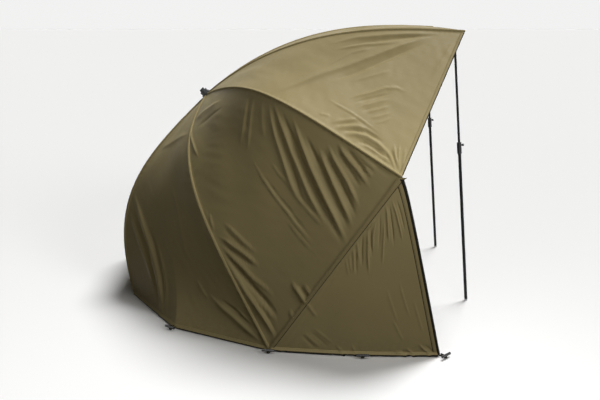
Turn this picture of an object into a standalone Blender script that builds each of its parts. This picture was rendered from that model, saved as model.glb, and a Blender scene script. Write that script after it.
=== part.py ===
"""Fishing umbrella with eight ribs, a tilted mast, two storm poles, side wings and ground pegs.

Metres, +Z up. The origin is the point at ground level where the mast's spike goes in.
+X is the open front, -Y is the right-hand side of someone who looks out of the shelter.
Everything below z = 0 is in the ground: the mast's spike, the storm poles' spikes and the pegs.
"""

import math

import bmesh
import bpy
import numpy as np
from mathutils import Matrix, Vector

# Driving dimensions

RIB_COUNT = 8
TILT = math.radians(44.0)
BOSS_HEIGHT = 1.020
GAP = 0.0003

# Ribs: how far each tip is from the umbrella's axis, and how far down the axis it lies
FRONT_REACH = 1.262
FRONT_DROP = 0.697
SIDE_REACH = 1.285
SIDE_DROP = 0.828
BACK_REACH = 1.226
REAR_REACH = 1.065
FOOT_HEIGHT = 0.003
START_ANGLE = math.radians(84.0)
REAR_START_ANGLE = math.radians(92.0)
FRONT_END_ANGLE = math.radians(43.0)
SIDE_END_ANGLE = math.radians(34.0)
BACK_END_ANGLE = math.radians(31.5)
REAR_END_ANGLE = math.radians(31.0)
START_PULL_SHARES = {"front": 0.48, "side": 0.62, "back": 0.56, "rear": 0.48}
END_PULL_SHARES = {"front": 0.34, "side": 0.56, "back": 0.59, "rear": 0.48}
ROD_RADIUS = 0.0045
ROD_DEPTH = 0.0070
ROD_END_MARGIN = 0.012
HINGE_RADIUS = 0.030
WIRE_RADIUS = 0.0015
EYE_RADIUS = 0.0027

# Canopy
CLOTH_THICKNESS = 0.0012
CANOPY_EYE_RADIUS = 0.0098
GORE_SAG_SHARE = 0.012
BACK_HEM_PULL_BACK = 0.0905
BACK_HEM_PULL_SIDE = 0.0975
WING_LENGTH = 0.748
WING_FLARE = 0.057
WING_PULL = 0.022
WING_SEAM_GAP = 0.0012
WING_TOP_SHARE = 0.03
FOLD_HEIGHT = 0.009
HEM_SHARE = 0.90
GORE_FOLD_HEIGHT = 0.003
GORE_FOLD_COUNT = 7
GORE_FOLD_SLANT_SHARE = 0.35
GORE_FOLD_SPOT_SHARE = 0.72
GORE_FOLD_SPREAD_SHARE = 0.17
WING_FOLD_COUNT = 5
WING_FOLD_SLANT_SHARE = 1.6
SHARP_ANGLE = math.radians(35.0)

# Boss and cap
BOSS_RADIUS = 0.038
BOSS_DEPTH = 0.034
BOSS_CORE_RADIUS = 0.0235
BOSS_CROWN = 0.0040
SLOT_WIDTH = 0.0100
STUD_RADIUS = 0.0075
STUD_LENGTH = 0.0280
CAP_RADIUS = 0.0265
CAP_STEP_RADIUS = 0.0215
CAP_TOP_RADIUS = 0.0135
CAP_BASE_HEIGHT = 0.0100
CAP_STEP_HEIGHT = 0.0290
CAP_HEIGHT = 0.0420
CAP_GROOVE = 0.0018
CAP_GROOVE_LOW_SHARE = 0.45
CAP_GROOVE_HIGH_SHARE = 0.60

# Mast
MAST_RADIUS = 0.0125
MAST_WALL = 0.0020
MAST_END = 0.985
MAST_SOCKET = 0.0200
INNER_MAST_RADIUS = 0.0098
INNER_MAST_TOP = 0.800
INNER_MAST_LIFT = 0.055
MAST_SPIKE_DEPTH = 0.200
SPIKE_SHOULDER_SHARE = 0.4
SPIKE_CONE_SHARE = 0.5
SPIKE_POINT_SHARE = 0.8
COLLAR_WALL = 0.0055
COLLAR_OVERLAP = 0.028
COLLAR_REACH = 0.030
COLLAR_SHANK_SHARE = 0.1
COLLAR_HEAD_SHARE = 0.38
COLLAR_SCREW_SHARE = 0.55
SCREW_NECK_SHARE = 0.7
SCREW_TAPER_SHARE = 0.35

# Runner and stretchers
RUNNER_OPEN = 0.150
RUNNER_TRAVEL = 0.210
RUNNER_RADIUS = 0.037
RUNNER_CORE_RADIUS = 0.0215
RUNNER_HALF_DEPTH = 0.012
RUNNER_GRIP_RADIUS = 0.0185
RUNNER_GRIP_LENGTH = 0.050
RUNNER_NECK_SHARE = 0.3
RUNNER_SLOT_SHARE = 0.5
STRETCHER_WIDTH = 0.0060
STRETCHER_HEIGHT = 0.0080
STRETCHER_SLOT = 0.0074
PRONG_THICKNESS = 0.0025
PRONG_LENGTH = 0.050
PIN_DEPTH = 0.0075
FOLDED_TIP_RADIUS = 0.050
FRONT_FOLDED_TIP_RADIUS = 0.085

# Storm poles
POLE_CLIP_BACK = 0.050
POLE_PIVOT_DEPTH = 0.0220
POLE_FOOT_FORWARD = 0.322
POLE_FOOT_SIDE = 0.486
POLE_ROD_RADIUS = 0.0060
POLE_TUBE_RADIUS = 0.0080
POLE_TUBE_WALL = 0.0016
POLE_LOCK_HEIGHT = 0.800
POLE_OVERLAP = 0.250
POLE_SPIKE_DEPTH = 0.150
POLE_SPIKE_PLUG_SHARE = 0.3
POLE_COLLAR_WALL = 0.0030
POLE_SHANK_SHARE = 1.6
POLE_NOSE_WIDTH_SHARE = 0.8
POLE_NOSE_DEPTH_SHARE = 0.7
CLIP_EAR = 0.0030
CLIP_LENGTH = 0.0160
CLIP_ROOF_SHARE = 0.66
CLIP_PIN_RADIUS = 0.0025
PACKED_POLE_TURN = math.radians(145.0)
PACKED_POLE_RADIUS = 0.100

# Pegs
PEG_SHAFT_RADIUS = 0.0040
PEG_SHAFT_LENGTH = 0.220
PEG_BAR_RADIUS = 0.0060
PEG_BAR_LENGTH = 0.0560
PEG_BAR_HEIGHT = 0.0160
PEG_LEAN = math.radians(24.0)
PEG_CLEARANCE = 0.030
PEG_POINT_SHARE = 0.9
WING_PEG_SHARE = 0.545
PEG_WAY_SHARES = {
    "wing_front": (0.7, 0.7),
    "wing_middle": (0.0, 1.0),
    "back_foot": (-0.15, 1.0),
    "back_middle": (-0.6, 0.8),
}
TAB_WIDTH = 0.012
TAB_THICKNESS = 0.0014
TAB_LIFT = 0.0020
TAB_ROOT = 0.0040
TAB_SPLIT_MARGIN = 0.0010
TAB_CARRIERS = {
    "wing_front": "wing",
    "wing_middle": "wing",
    "back_foot": "canopy_back",
    "back_middle": "canopy_back",
}

# Counts of faces round and along
GORE_COLUMNS = 8
CANOPY_ROWS = 14
WING_ROWS = 9
WING_COLUMNS = 9
ROD_SIDES = 6
FINE_SIDES = 24
MEDIUM_SIDES = 16
SMALL_SIDES = 12
PROFILE_STEPS = 240
FIT_STEPS = 50

PLACES = ("front", "side", "back", "rear")
SIDES = ("right", "left")

# The umbrella's own directions

AXIS = Vector((math.cos(TILT), 0.0, -math.sin(TILT)))
RISE = Vector((math.sin(TILT), 0.0, math.cos(TILT)))
RIGHT = Vector((0.0, -1.0, 0.0))
UP = Vector((0.0, 0.0, 1.0))
HUB = -AXIS * (BOSS_HEIGHT / math.sin(TILT))
MAST_TO_GROUND = BOSS_HEIGHT / math.sin(TILT)
HALF_TURN_STEP = math.pi / RIB_COUNT
HALF_CLOTH = CLOTH_THICKNESS * 0.5


def outward(turn):
    """Direction square to the mast, turned from the upper front towards the right side."""
    return RISE * math.cos(turn) + RIGHT * math.sin(turn)


def umbrella_point(turn, radius, drop):
    """World point at a turn about the mast, a radius from it and a drop along it."""
    return HUB + AXIS * drop + outward(turn) * radius


def rib_turn(place, side):
    """Turn of a rib about the mast; the left ribs mirror the right ones."""
    turn = HALF_TURN_STEP * (2 * PLACES.index(place) + 1)
    return turn if side == "right" else -turn


def drop_to_ground(place, reach):
    """Drop at which a rib of this reach has its tip just above the ground."""
    rise = reach * math.cos(rib_turn(place, "right")) * math.cos(TILT)
    return (BOSS_HEIGHT + rise - FOOT_HEIGHT) / math.sin(TILT)


REACHES = {"front": FRONT_REACH, "side": SIDE_REACH, "back": BACK_REACH, "rear": REAR_REACH}
DROPS = {
    "front": FRONT_DROP,
    "side": SIDE_DROP,
    "back": drop_to_ground("back", BACK_REACH),
    "rear": drop_to_ground("rear", REAR_REACH),
}
END_ANGLES = {
    "front": FRONT_END_ANGLE,
    "side": SIDE_END_ANGLE,
    "back": BACK_END_ANGLE,
    "rear": REAR_END_ANGLE,
}


def ridge_profile(place):
    """Canopy line over a rib as evenly spaced (radius, drop) rows, with its length."""
    start = np.array((HINGE_RADIUS, 0.0))
    tip = np.array((REACHES[place], DROPS[place]))
    lead = REACHES[place] * START_PULL_SHARES[place]
    trail = REACHES[place] * END_PULL_SHARES[place]
    heading = REAR_START_ANGLE if place == "rear" else START_ANGLE
    leave = start + lead * np.array((math.sin(heading), math.cos(heading)))
    arrive = tip - trail * np.array((math.sin(END_ANGLES[place]), math.cos(END_ANGLES[place])))
    share = np.linspace(0.0, 1.0, PROFILE_STEPS + 1)[:, None]
    rest = 1.0 - share
    curve = rest**3 * start + 3 * rest**2 * share * leave
    curve = curve + 3 * rest * share**2 * arrive + share**3 * tip
    lengths = np.hypot(*np.diff(curve, axis=0).T)
    along = np.concatenate(((0.0,), np.cumsum(lengths)))
    even = np.linspace(0.0, along[-1], CANOPY_ROWS + 1)
    rows = np.stack((np.interp(even, along, curve[:, 0]), np.interp(even, along, curve[:, 1])), 1)
    return rows, along[-1]


PROFILES = {place: ridge_profile(place) for place in PLACES}


def profile_at(place, share):
    """Radius and drop of the canopy line at a share of its length."""
    rows = PROFILES[place][0]
    spot = share * CANOPY_ROWS
    index = np.arange(CANOPY_ROWS + 1)
    return float(np.interp(spot, index, rows[:, 0])), float(np.interp(spot, index, rows[:, 1]))


def profile_heading(place, share):
    """Unit heading of the canopy line as (radius, drop)."""
    step = 1.0 / PROFILE_STEPS
    low = profile_at(place, max(0.0, share - step))
    high = profile_at(place, min(1.0, share + step))
    heading = Vector((high[0] - low[0], high[1] - low[1]))
    return heading.normalized()


def under_rib(place, side, share, depth):
    """World point under the canopy line, by a depth towards the inside of the shelter."""
    radius, drop = profile_at(place, share)
    heading = profile_heading(place, share)
    return umbrella_point(
        rib_turn(place, side), radius - heading.y * depth, drop + heading.x * depth
    )


# Mesh helpers


def material(name, colour, roughness, metallic):
    """Principled material with one colour."""
    look = bpy.data.materials.new(name)
    look.use_nodes = True
    shader = look.node_tree.nodes["Principled BSDF"]
    shader.inputs["Base Color"].default_value = (*colour, 1.0)
    shader.inputs["Roughness"].default_value = roughness
    shader.inputs["Metallic"].default_value = metallic
    look.diffuse_color = (*colour, 1.0)
    return look


def add_piece(name, shape, origin, look=None, smooth=True):
    """Object from a bmesh in world coordinates, with its origin at the given point."""
    bmesh.ops.recalc_face_normals(shape, faces=shape.faces)
    mesh = bpy.data.meshes.new(name)
    shape.to_mesh(mesh)
    shape.free()
    mesh.transform(Matrix.Translation(-origin))
    if smooth:
        mesh.shade_smooth()
        mesh.set_sharp_from_angle(angle=SHARP_ANGLE)
    piece = bpy.data.objects.new(name, mesh)
    piece.location = origin
    if look is not None:
        mesh.materials.append(look)
    bpy.context.collection.objects.link(piece)
    return piece


def add_cutter(name, shape, origin):
    """Hidden shape that only cuts or joins."""
    cutter = add_piece(name, shape, origin, smooth=False)
    cutter.hide_render = True
    cutter.display_type = "WIRE"
    return cutter


def shape_with(piece, tool, operation):
    """Boolean modifier on a piece."""
    modifier = piece.modifiers.new(operation.lower(), "BOOLEAN")
    modifier.operation = operation
    modifier.solver = "EXACT"
    modifier.object = tool


def side_directions(axis, hint=None):
    """Two directions square to an axis; the first is as near to the hint as it can be."""
    axis = axis.normalized()
    guide = hint if hint is not None else (UP if abs(axis.z) < 0.9 else RIGHT)
    first = (guide - axis * guide.dot(axis)).normalized()
    return first, axis.cross(first)


def turned(profile, base, axis, sides, closed=False, shape=None, hint=None):
    """Turned solid from (radius, height) rows; closed makes a ring with a hole through it."""
    shape = shape or bmesh.new()
    axis = axis.normalized()
    first, second = side_directions(axis, hint)
    rings = []
    for radius, height in profile:
        centre = base + axis * height
        if radius == 0.0:
            rings.append([shape.verts.new(centre)])
            continue
        ring = []
        for index in range(sides):
            turn = 2.0 * math.pi * index / sides
            ring.append(
                shape.verts.new(
                    centre + (first * math.cos(turn) + second * math.sin(turn)) * radius
                )
            )
        rings.append(ring)
    pairs = list(zip(rings, rings[1:]))
    if closed:
        pairs.append((rings[-1], rings[0]))
    for low, high in pairs:
        for index in range(sides):
            after = (index + 1) % sides
            if len(low) == 1:
                shape.faces.new((low[0], high[index], high[after]))
            elif len(high) == 1:
                shape.faces.new((low[index], high[0], low[after]))
            else:
                shape.faces.new((low[index], high[index], high[after], low[after]))
    return shape


def rod(points, radius, sides, shape=None, hint=None):
    """Round bar along a row of points, with flat ends."""
    shape = shape or bmesh.new()
    rings = []
    guide = hint
    for index, point in enumerate(points):
        before = points[max(0, index - 1)]
        after = points[min(len(points) - 1, index + 1)]
        heading = (after - before).normalized()
        first, second = side_directions(heading, guide)
        guide = first
        rings.append(
            [
                shape.verts.new(
                    point
                    + first * (radius * math.cos(2.0 * math.pi * turn / sides))
                    + second * (radius * math.sin(2.0 * math.pi * turn / sides))
                )
                for turn in range(sides)
            ]
        )
    for low, high in zip(rings, rings[1:]):
        for index in range(sides):
            after = (index + 1) % sides
            shape.faces.new((low[index], low[after], high[after], high[index]))
    shape.faces.new(rings[0])
    shape.faces.new(rings[-1])
    return shape


def prism(outline, base, along, across, normal, low, high, shape=None):
    """Straight-sided solid from an outline in the plane of two directions."""
    shape = shape or bmesh.new()
    bottom = [shape.verts.new(base + along * x + across * y + normal * low) for x, y in outline]
    top = [shape.verts.new(base + along * x + across * y + normal * high) for x, y in outline]
    shape.faces.new(bottom)
    shape.faces.new(top)
    for index in range(len(outline)):
        after = (index + 1) % len(outline)
        shape.faces.new((bottom[index], bottom[after], top[after], top[index]))
    return shape


def ring_tube(centre, axis, ring_radius, tube_radius, ring_sides, tube_sides):
    """Wire ring about an axis."""
    shape = bmesh.new()
    first, second = side_directions(axis)
    axis = axis.normalized()
    loops = []
    for index in range(ring_sides):
        turn = 2.0 * math.pi * index / ring_sides
        outwards = first * math.cos(turn) + second * math.sin(turn)
        middle = centre + outwards * ring_radius
        loop = []
        for step in range(tube_sides):
            swing = 2.0 * math.pi * (step + 0.5) / tube_sides
            offset = outwards * math.cos(swing) + axis * math.sin(swing)
            loop.append(shape.verts.new(middle + offset * tube_radius))
        loops.append(loop)
    for index in range(ring_sides):
        low = loops[index]
        high = loops[(index + 1) % ring_sides]
        for step in range(tube_sides):
            after = (step + 1) % tube_sides
            shape.faces.new((low[step], low[after], high[after], high[step]))
    return shape


def cloth_solid(grid, thickness):
    """Thin closed sheet from rows of points, half its thickness on each side."""
    points = np.array([[tuple(point) for point in row] for row in grid])
    along = np.gradient(points, axis=0)
    across = np.gradient(points, axis=1)
    normals = np.cross(along, across)
    normals /= np.linalg.norm(normals, axis=2)[:, :, None]
    shape = bmesh.new()
    layers = []
    for sign in (0.5, -0.5):
        layer = points + normals * (thickness * sign)
        layers.append([[shape.verts.new(point) for point in row] for row in layer])
    rows = len(points)
    columns = len(points[0])
    for layer in layers:
        for row in range(rows - 1):
            for column in range(columns - 1):
                shape.faces.new(
                    (
                        layer[row][column],
                        layer[row][column + 1],
                        layer[row + 1][column + 1],
                        layer[row + 1][column],
                    )
                )
    rim = [(0, column) for column in range(columns)]
    rim += [(row, columns - 1) for row in range(1, rows)]
    rim += [(rows - 1, column) for column in range(columns - 2, -1, -1)]
    rim += [(row, 0) for row in range(rows - 2, 0, -1)]
    for index, spot in enumerate(rim):
        after = rim[(index + 1) % len(rim)]
        shape.faces.new(
            (
                layers[0][spot[0]][spot[1]],
                layers[0][after[0]][after[1]],
                layers[1][after[0]][after[1]],
                layers[1][spot[0]][spot[1]],
            )
        )
    return shape


# Canopy surface


def rib_at(index):
    """Place and side of the rib with this number, counted to the right from the front."""
    index = index % RIB_COUNT
    if index < len(PLACES):
        return PLACES[index], "right"
    return PLACES[RIB_COUNT - 1 - index], "left"


def ridge_point(index, share):
    """World point on the canopy line over a rib."""
    place, side = rib_at(index)
    radius, drop = profile_at(place, share)
    return umbrella_point(rib_turn(place, side), radius, drop)


def hat(share):
    """One at the middle of a span, falling evenly to nothing at its ends."""
    return 1.0 - abs(2.0 * share - 1.0)


def gore_point(index, across, share):
    """Point on the gore between rib index and the next; across runs from one to the other."""
    near = ridge_point(index, share)
    far = ridge_point(index + 1, share)
    point = near.lerp(far, across)
    later = min(1.0, share + 1.0 / PROFILE_STEPS)
    sooner = max(0.0, share - 1.0 / PROFILE_STEPS)
    ahead = ridge_point(index, later).lerp(ridge_point(index + 1, later), across)
    behind = ridge_point(index, sooner).lerp(ridge_point(index + 1, sooner), across)
    span = far - near
    normal = span.cross(ahead - behind).normalized()
    middle_turn = HALF_TURN_STEP * (2 * (index % RIB_COUNT) + 2)
    if normal.dot(outward(middle_turn)) < 0.0:
        normal = -normal
    sag = GORE_SAG_SHARE * span.length * 4.0 * across * (1.0 - across)
    point = point - normal * (sag * math.sin(math.pi * share))
    point = point + normal * gore_relief(across, share)
    point = point + peg_pull(index) * (hat(across) * share**7)
    if share > HEM_SHARE:
        point.z = max(point.z, FOOT_HEIGHT)
    return point


def peg_pull(index):
    """How far the peg at the middle of a back gore draws the hem outwards."""
    if {rib_at(index)[0], rib_at(index + 1)[0]} != {"back", "rear"}:
        return Vector((0.0, 0.0, 0.0))
    sign = -1.0 if rib_turn(*rib_at(index)) > 0.0 else 1.0
    return Vector((-BACK_HEM_PULL_BACK, sign * BACK_HEM_PULL_SIDE, 0.0))


def gore_relief(across, share):
    """Main tension folds of a gore, slanting across it and deepest towards the hem."""
    edge = 4.0 * across * (1.0 - across)
    band = math.sin(math.pi * share) ** 2
    fan = math.sin(GORE_FOLD_COUNT * math.pi * (share + GORE_FOLD_SLANT_SHARE * across))
    depth = math.exp(-(((share - GORE_FOLD_SPOT_SHARE) / GORE_FOLD_SPREAD_SHARE) ** 2))
    return GORE_FOLD_HEIGHT * edge * band * fan * depth


def canopy_grid(index):
    """Grid of points over one rib, from the middle of one gore to the middle of the next."""
    half = GORE_COLUMNS // 2
    grid = []
    middle = HALF_TURN_STEP * (2 * (index % RIB_COUNT) + 1)
    trim = GAP * 0.5 / CANOPY_EYE_RADIUS
    row = []
    for column in range(GORE_COLUMNS + 1):
        lean = (column - half) / half
        turn = middle + lean * (HALF_TURN_STEP - trim)
        row.append(umbrella_point(turn, CANOPY_EYE_RADIUS, 0.0))
    grid.append(row)
    for step in range(CANOPY_ROWS + 1):
        share = step / CANOPY_ROWS
        width = (ridge_point(index + 1, share) - ridge_point(index, share)).length
        before = (ridge_point(index, share) - ridge_point(index - 1, share)).length
        row = []
        for column in range(GORE_COLUMNS + 1):
            lean = (column - half) / half
            if lean < 0.0:
                across = 1.0 + lean * (0.5 - GAP / before)
                row.append(gore_point(index - 1, across, share))
            else:
                across = lean * (0.5 - GAP / width)
                row.append(gore_point(index, across, share))
        grid.append(row)
    return grid


def build_canopy(look):
    """Canopy as one sheet of cloth per rib, parted along the middle of each gore."""
    for index in range(RIB_COUNT):
        place, side = rib_at(index)
        shape = cloth_solid(canopy_grid(index), CLOTH_THICKNESS)
        add_piece(f"canopy_{place}_{side}", shape, hinge_point(place, side), look)


# Wings


def wing_corners(side):
    """Top, back foot and front foot of a wing's triangle."""
    sign = -1.0 if side == "right" else 1.0
    top = umbrella_point(rib_turn("side", side), REACHES["side"], DROPS["side"])
    back = umbrella_point(rib_turn("back", side), REACHES["back"], DROPS["back"])
    front = back + Vector((WING_LENGTH, sign * WING_FLARE, 0.0))
    return top, back, front


def wing_point(side, down, across):
    """Point on a wing; down runs from the top to the hem, across from the seam to the front."""
    sign = -1.0 if side == "right" else 1.0
    top, back, front = wing_corners(side)
    seam = top.lerp(back, down)
    edge = top.lerp(front, down)
    point = seam.lerp(edge, across)
    fold = math.sin(math.pi * across) * math.sin(math.pi * down**1.5)
    wave = math.sin(WING_FOLD_COUNT * math.pi * across + WING_FOLD_SLANT_SHARE * down)
    hem = WING_PULL * math.sin(math.pi * across) * down**4
    point.y += sign * (hem + FOLD_HEIGHT * fold * wave)
    return point


def build_wings(look):
    """Triangular wing between the side rib's tip, the back rib's foot and the front peg."""
    for side in SIDES:
        top, back, front = wing_corners(side)
        margin = WING_SEAM_GAP / (front - back).length
        grid = []
        for row in range(WING_ROWS + 1):
            down = WING_TOP_SHARE + (1.0 - WING_TOP_SHARE) * row / WING_ROWS
            start = margin / down
            grid.append(
                [
                    wing_point(side, down, start + (1.0 - start) * column / WING_COLUMNS)
                    for column in range(WING_COLUMNS + 1)
                ]
            )
        shape = cloth_solid(grid, CLOTH_THICKNESS)
        add_piece(f"wing_{side}", shape, top, look)


# Ribs


def hinge_point(place, side):
    """Centre of a rib's hinge at the boss."""
    return umbrella_point(rib_turn(place, side), HINGE_RADIUS, ROD_DEPTH)


def hinge_axis(place, side):
    """Axis about which a positive turn folds the rib down to the mast."""
    return outward(rib_turn(place, side)).cross(AXIS).normalized()


def rib_end_share(place):
    """Share of the canopy line at which the rod ends, short of the hem."""
    return 1.0 - ROD_END_MARGIN / PROFILES[place][1]


def fold_angle(place):
    """Turn that brings a rib's tip in beside the mast."""
    radius = FRONT_FOLDED_TIP_RADIUS if place == "front" else FOLDED_TIP_RADIUS
    out = REACHES[place] - HINGE_RADIUS
    down = DROPS[place] - ROD_DEPTH
    length = math.hypot(out, down)
    return math.atan2(out, down) - math.asin((radius - HINGE_RADIUS) / length)


def build_ribs(look):
    """Eight round ribs, each with an eye on the boss's wire."""
    for index in range(RIB_COUNT):
        place, side = rib_at(index)
        hinge = hinge_point(place, side)
        axis = hinge_axis(place, side)
        end = rib_end_share(place)
        points = [hinge - outward(rib_turn(place, side)) * ROD_RADIUS, hinge]
        for step in range(1, CANOPY_ROWS):
            points.append(under_rib(place, side, step / CANOPY_ROWS, ROD_DEPTH))
        points.append(under_rib(place, side, end, ROD_DEPTH))
        shape = rod(points, ROD_RADIUS, ROD_SIDES, hint=axis)
        piece = add_piece(f"rib_{place}_{side}", shape, hinge, look)
        reach = SLOT_WIDTH
        eye = rod([hinge - axis * reach, hinge + axis * reach], EYE_RADIUS, ROD_SIDES)
        shape_with(piece, add_cutter(f"cut_rib_eye_{index}", eye, hinge), "DIFFERENCE")


# Boss, cap and hinge wires


def radial_slots(name, drop, low, high, width, inner, outer):
    """Cutter of slots, one for each rib."""
    shape = bmesh.new()
    for index in range(RIB_COUNT):
        turn = rib_turn(*rib_at(index))
        out = outward(turn)
        outline = [
            (inner, -width * 0.5),
            (outer, -width * 0.5),
            (outer, width * 0.5),
            (inner, width * 0.5),
        ]
        prism(outline, HUB + AXIS * drop, out, AXIS.cross(out), AXIS, low, high, shape)
    return add_cutter(name, shape, HUB + AXIS * drop)


def build_boss(plastic, steel):
    """Slotted boss on top of the mast, its hinge wire and its screw cap."""
    top = HALF_CLOTH + GAP
    bore = MAST_RADIUS + GAP
    profile = [
        (0.0, -STUD_LENGTH),
        (STUD_RADIUS, -STUD_LENGTH),
        (STUD_RADIUS, top),
        (CAP_RADIUS, top),
        (BOSS_RADIUS, top + BOSS_CROWN),
        (BOSS_RADIUS, BOSS_DEPTH),
        (bore, BOSS_DEPTH),
        (bore, BOSS_DEPTH - MAST_SOCKET),
        (0.0, BOSS_DEPTH - MAST_SOCKET),
    ]
    boss = add_piece("boss", turned(profile, HUB, AXIS, FINE_SIDES, hint=RISE), HUB, plastic)
    slots = radial_slots(
        "cut_boss_slots", 0.0, -ROD_DEPTH, BOSS_RADIUS + GAP, SLOT_WIDTH, BOSS_CORE_RADIUS,
        BOSS_RADIUS + SLOT_WIDTH,
    )
    shape_with(boss, slots, "DIFFERENCE")
    centre = HUB + AXIS * ROD_DEPTH
    groove = ring_tube(centre, AXIS, HINGE_RADIUS, EYE_RADIUS, 4 * RIB_COUNT, ROD_SIDES)
    shape_with(boss, add_cutter("cut_boss_groove", groove, centre), "DIFFERENCE")
    wire = ring_tube(centre, AXIS, HINGE_RADIUS, WIRE_RADIUS, 4 * RIB_COUNT, ROD_SIDES)
    add_piece("boss_hinge_wire", wire, centre, steel)

    bore = STUD_RADIUS + GAP
    foot = HALF_CLOTH + 2.0 * GAP
    groove_low = CAP_BASE_HEIGHT + (CAP_STEP_HEIGHT - CAP_BASE_HEIGHT) * CAP_GROOVE_LOW_SHARE
    groove_high = CAP_BASE_HEIGHT + (CAP_STEP_HEIGHT - CAP_BASE_HEIGHT) * CAP_GROOVE_HIGH_SHARE
    profile = [
        (bore, foot),
        (CAP_RADIUS, foot),
        (CAP_RADIUS, CAP_BASE_HEIGHT),
        (CAP_STEP_RADIUS, CAP_BASE_HEIGHT),
        (CAP_STEP_RADIUS, groove_low),
        (CAP_STEP_RADIUS - CAP_GROOVE, groove_low),
        (CAP_STEP_RADIUS - CAP_GROOVE, groove_high),
        (CAP_STEP_RADIUS, groove_high),
        (CAP_STEP_RADIUS, CAP_STEP_HEIGHT),
        (CAP_TOP_RADIUS, CAP_STEP_HEIGHT),
        (CAP_TOP_RADIUS, CAP_HEIGHT),
        (0.0, CAP_HEIGHT),
    ]
    inner = [(bore, STUD_LENGTH + 2.0 * GAP), (0.0, STUD_LENGTH + 2.0 * GAP)]
    outline = inner[::-1] + profile
    add_piece("boss_cap", turned(outline, HUB, -AXIS, FINE_SIDES, hint=RISE), HUB, plastic)


# Mast


def tube_profile(outer, inner, low, high):
    """Closed outline of a plain tube."""
    return [(outer, low), (outer, high), (inner, high), (inner, low)]


def collar_profile(outer, wide, narrow, step, low, high):
    """Closed outline of a collar that grips a wide tube on one side of the step."""
    return [(outer, low), (outer, high), (narrow, high), (narrow, step), (wide, step), (wide, low)]


def clamp_screw(name, base, axis, shank, inner, outer, head, length, look):
    """Thumbscrew with a shank through the collar's wall and a winged head."""
    profile = [
        (0.0, inner),
        (shank, inner),
        (shank, outer + 2.0 * GAP),
        (head * SCREW_NECK_SHARE, outer + 2.0 * GAP),
        (head, outer + length * SCREW_TAPER_SHARE),
        (head, outer + length),
        (0.0, outer + length),
    ]
    add_piece(name, turned(profile, base, axis, SMALL_SIDES), base + axis * outer, look)


def screw_hole(piece, name, base, axis, radius, reach):
    """Hole for a clamp screw."""
    hole = rod([base, base + axis * reach], radius, SMALL_SIDES)
    shape_with(piece, add_cutter(name, hole, base), "DIFFERENCE")


def build_mast(metal, plastic, steel):
    """Two tubes that telescope, with a collar, its thumbscrew and a ground spike."""
    inner = MAST_RADIUS - MAST_WALL
    top = BOSS_DEPTH - MAST_SOCKET + GAP
    shape = turned(tube_profile(MAST_RADIUS, inner, top, MAST_END), HUB, AXIS, FINE_SIDES, True)
    add_piece("mast_upper_tube", shape, HUB, metal)

    low_end = MAST_TO_GROUND - INNER_MAST_LIFT
    bore = INNER_MAST_RADIUS - MAST_WALL
    profile = tube_profile(INNER_MAST_RADIUS, bore, INNER_MAST_TOP, low_end)
    shape = turned(profile, HUB, AXIS, MEDIUM_SIDES, True)
    add_piece("mast_lower_tube", shape, HUB + AXIS * low_end, metal)

    plug = bore - 2.0 * GAP
    profile = [
        (0.0, low_end - INNER_MAST_LIFT),
        (plug, low_end - INNER_MAST_LIFT),
        (plug, low_end + GAP),
        (INNER_MAST_RADIUS, low_end + GAP),
        (INNER_MAST_RADIUS, low_end + INNER_MAST_LIFT * SPIKE_SHOULDER_SHARE),
        (plug, low_end + INNER_MAST_LIFT * SPIKE_CONE_SHARE),
        (plug, MAST_TO_GROUND + MAST_SPIKE_DEPTH * SPIKE_POINT_SHARE),
        (0.0, MAST_TO_GROUND + MAST_SPIKE_DEPTH),
    ]
    shape = turned(profile, HUB, AXIS, SMALL_SIDES)
    add_piece("mast_ground_spike", shape, Vector((0.0, 0.0, 0.0)), steel)

    wide = MAST_RADIUS + GAP
    narrow = INNER_MAST_RADIUS + GAP
    outer = wide + COLLAR_WALL
    low = MAST_END - COLLAR_OVERLAP
    high = MAST_END + COLLAR_REACH
    profile = collar_profile(outer, wide, narrow, MAST_END + GAP, low, high)
    collar = add_piece("mast_collar", turned(profile, HUB, AXIS, FINE_SIDES, True), HUB, plastic)
    base = HUB + AXIS * (MAST_END + COLLAR_REACH * 0.5)
    shank = COLLAR_REACH * COLLAR_SHANK_SHARE
    screw_hole(collar, "cut_mast_collar", base, RISE, shank + GAP, outer * 2.0)
    clamp_screw(
        "mast_thumbscrew", base, RISE, shank, narrow, outer, COLLAR_REACH * COLLAR_HEAD_SHARE,
        COLLAR_REACH * COLLAR_SCREW_SHARE, plastic,
    )


# Runner and stretchers


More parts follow.
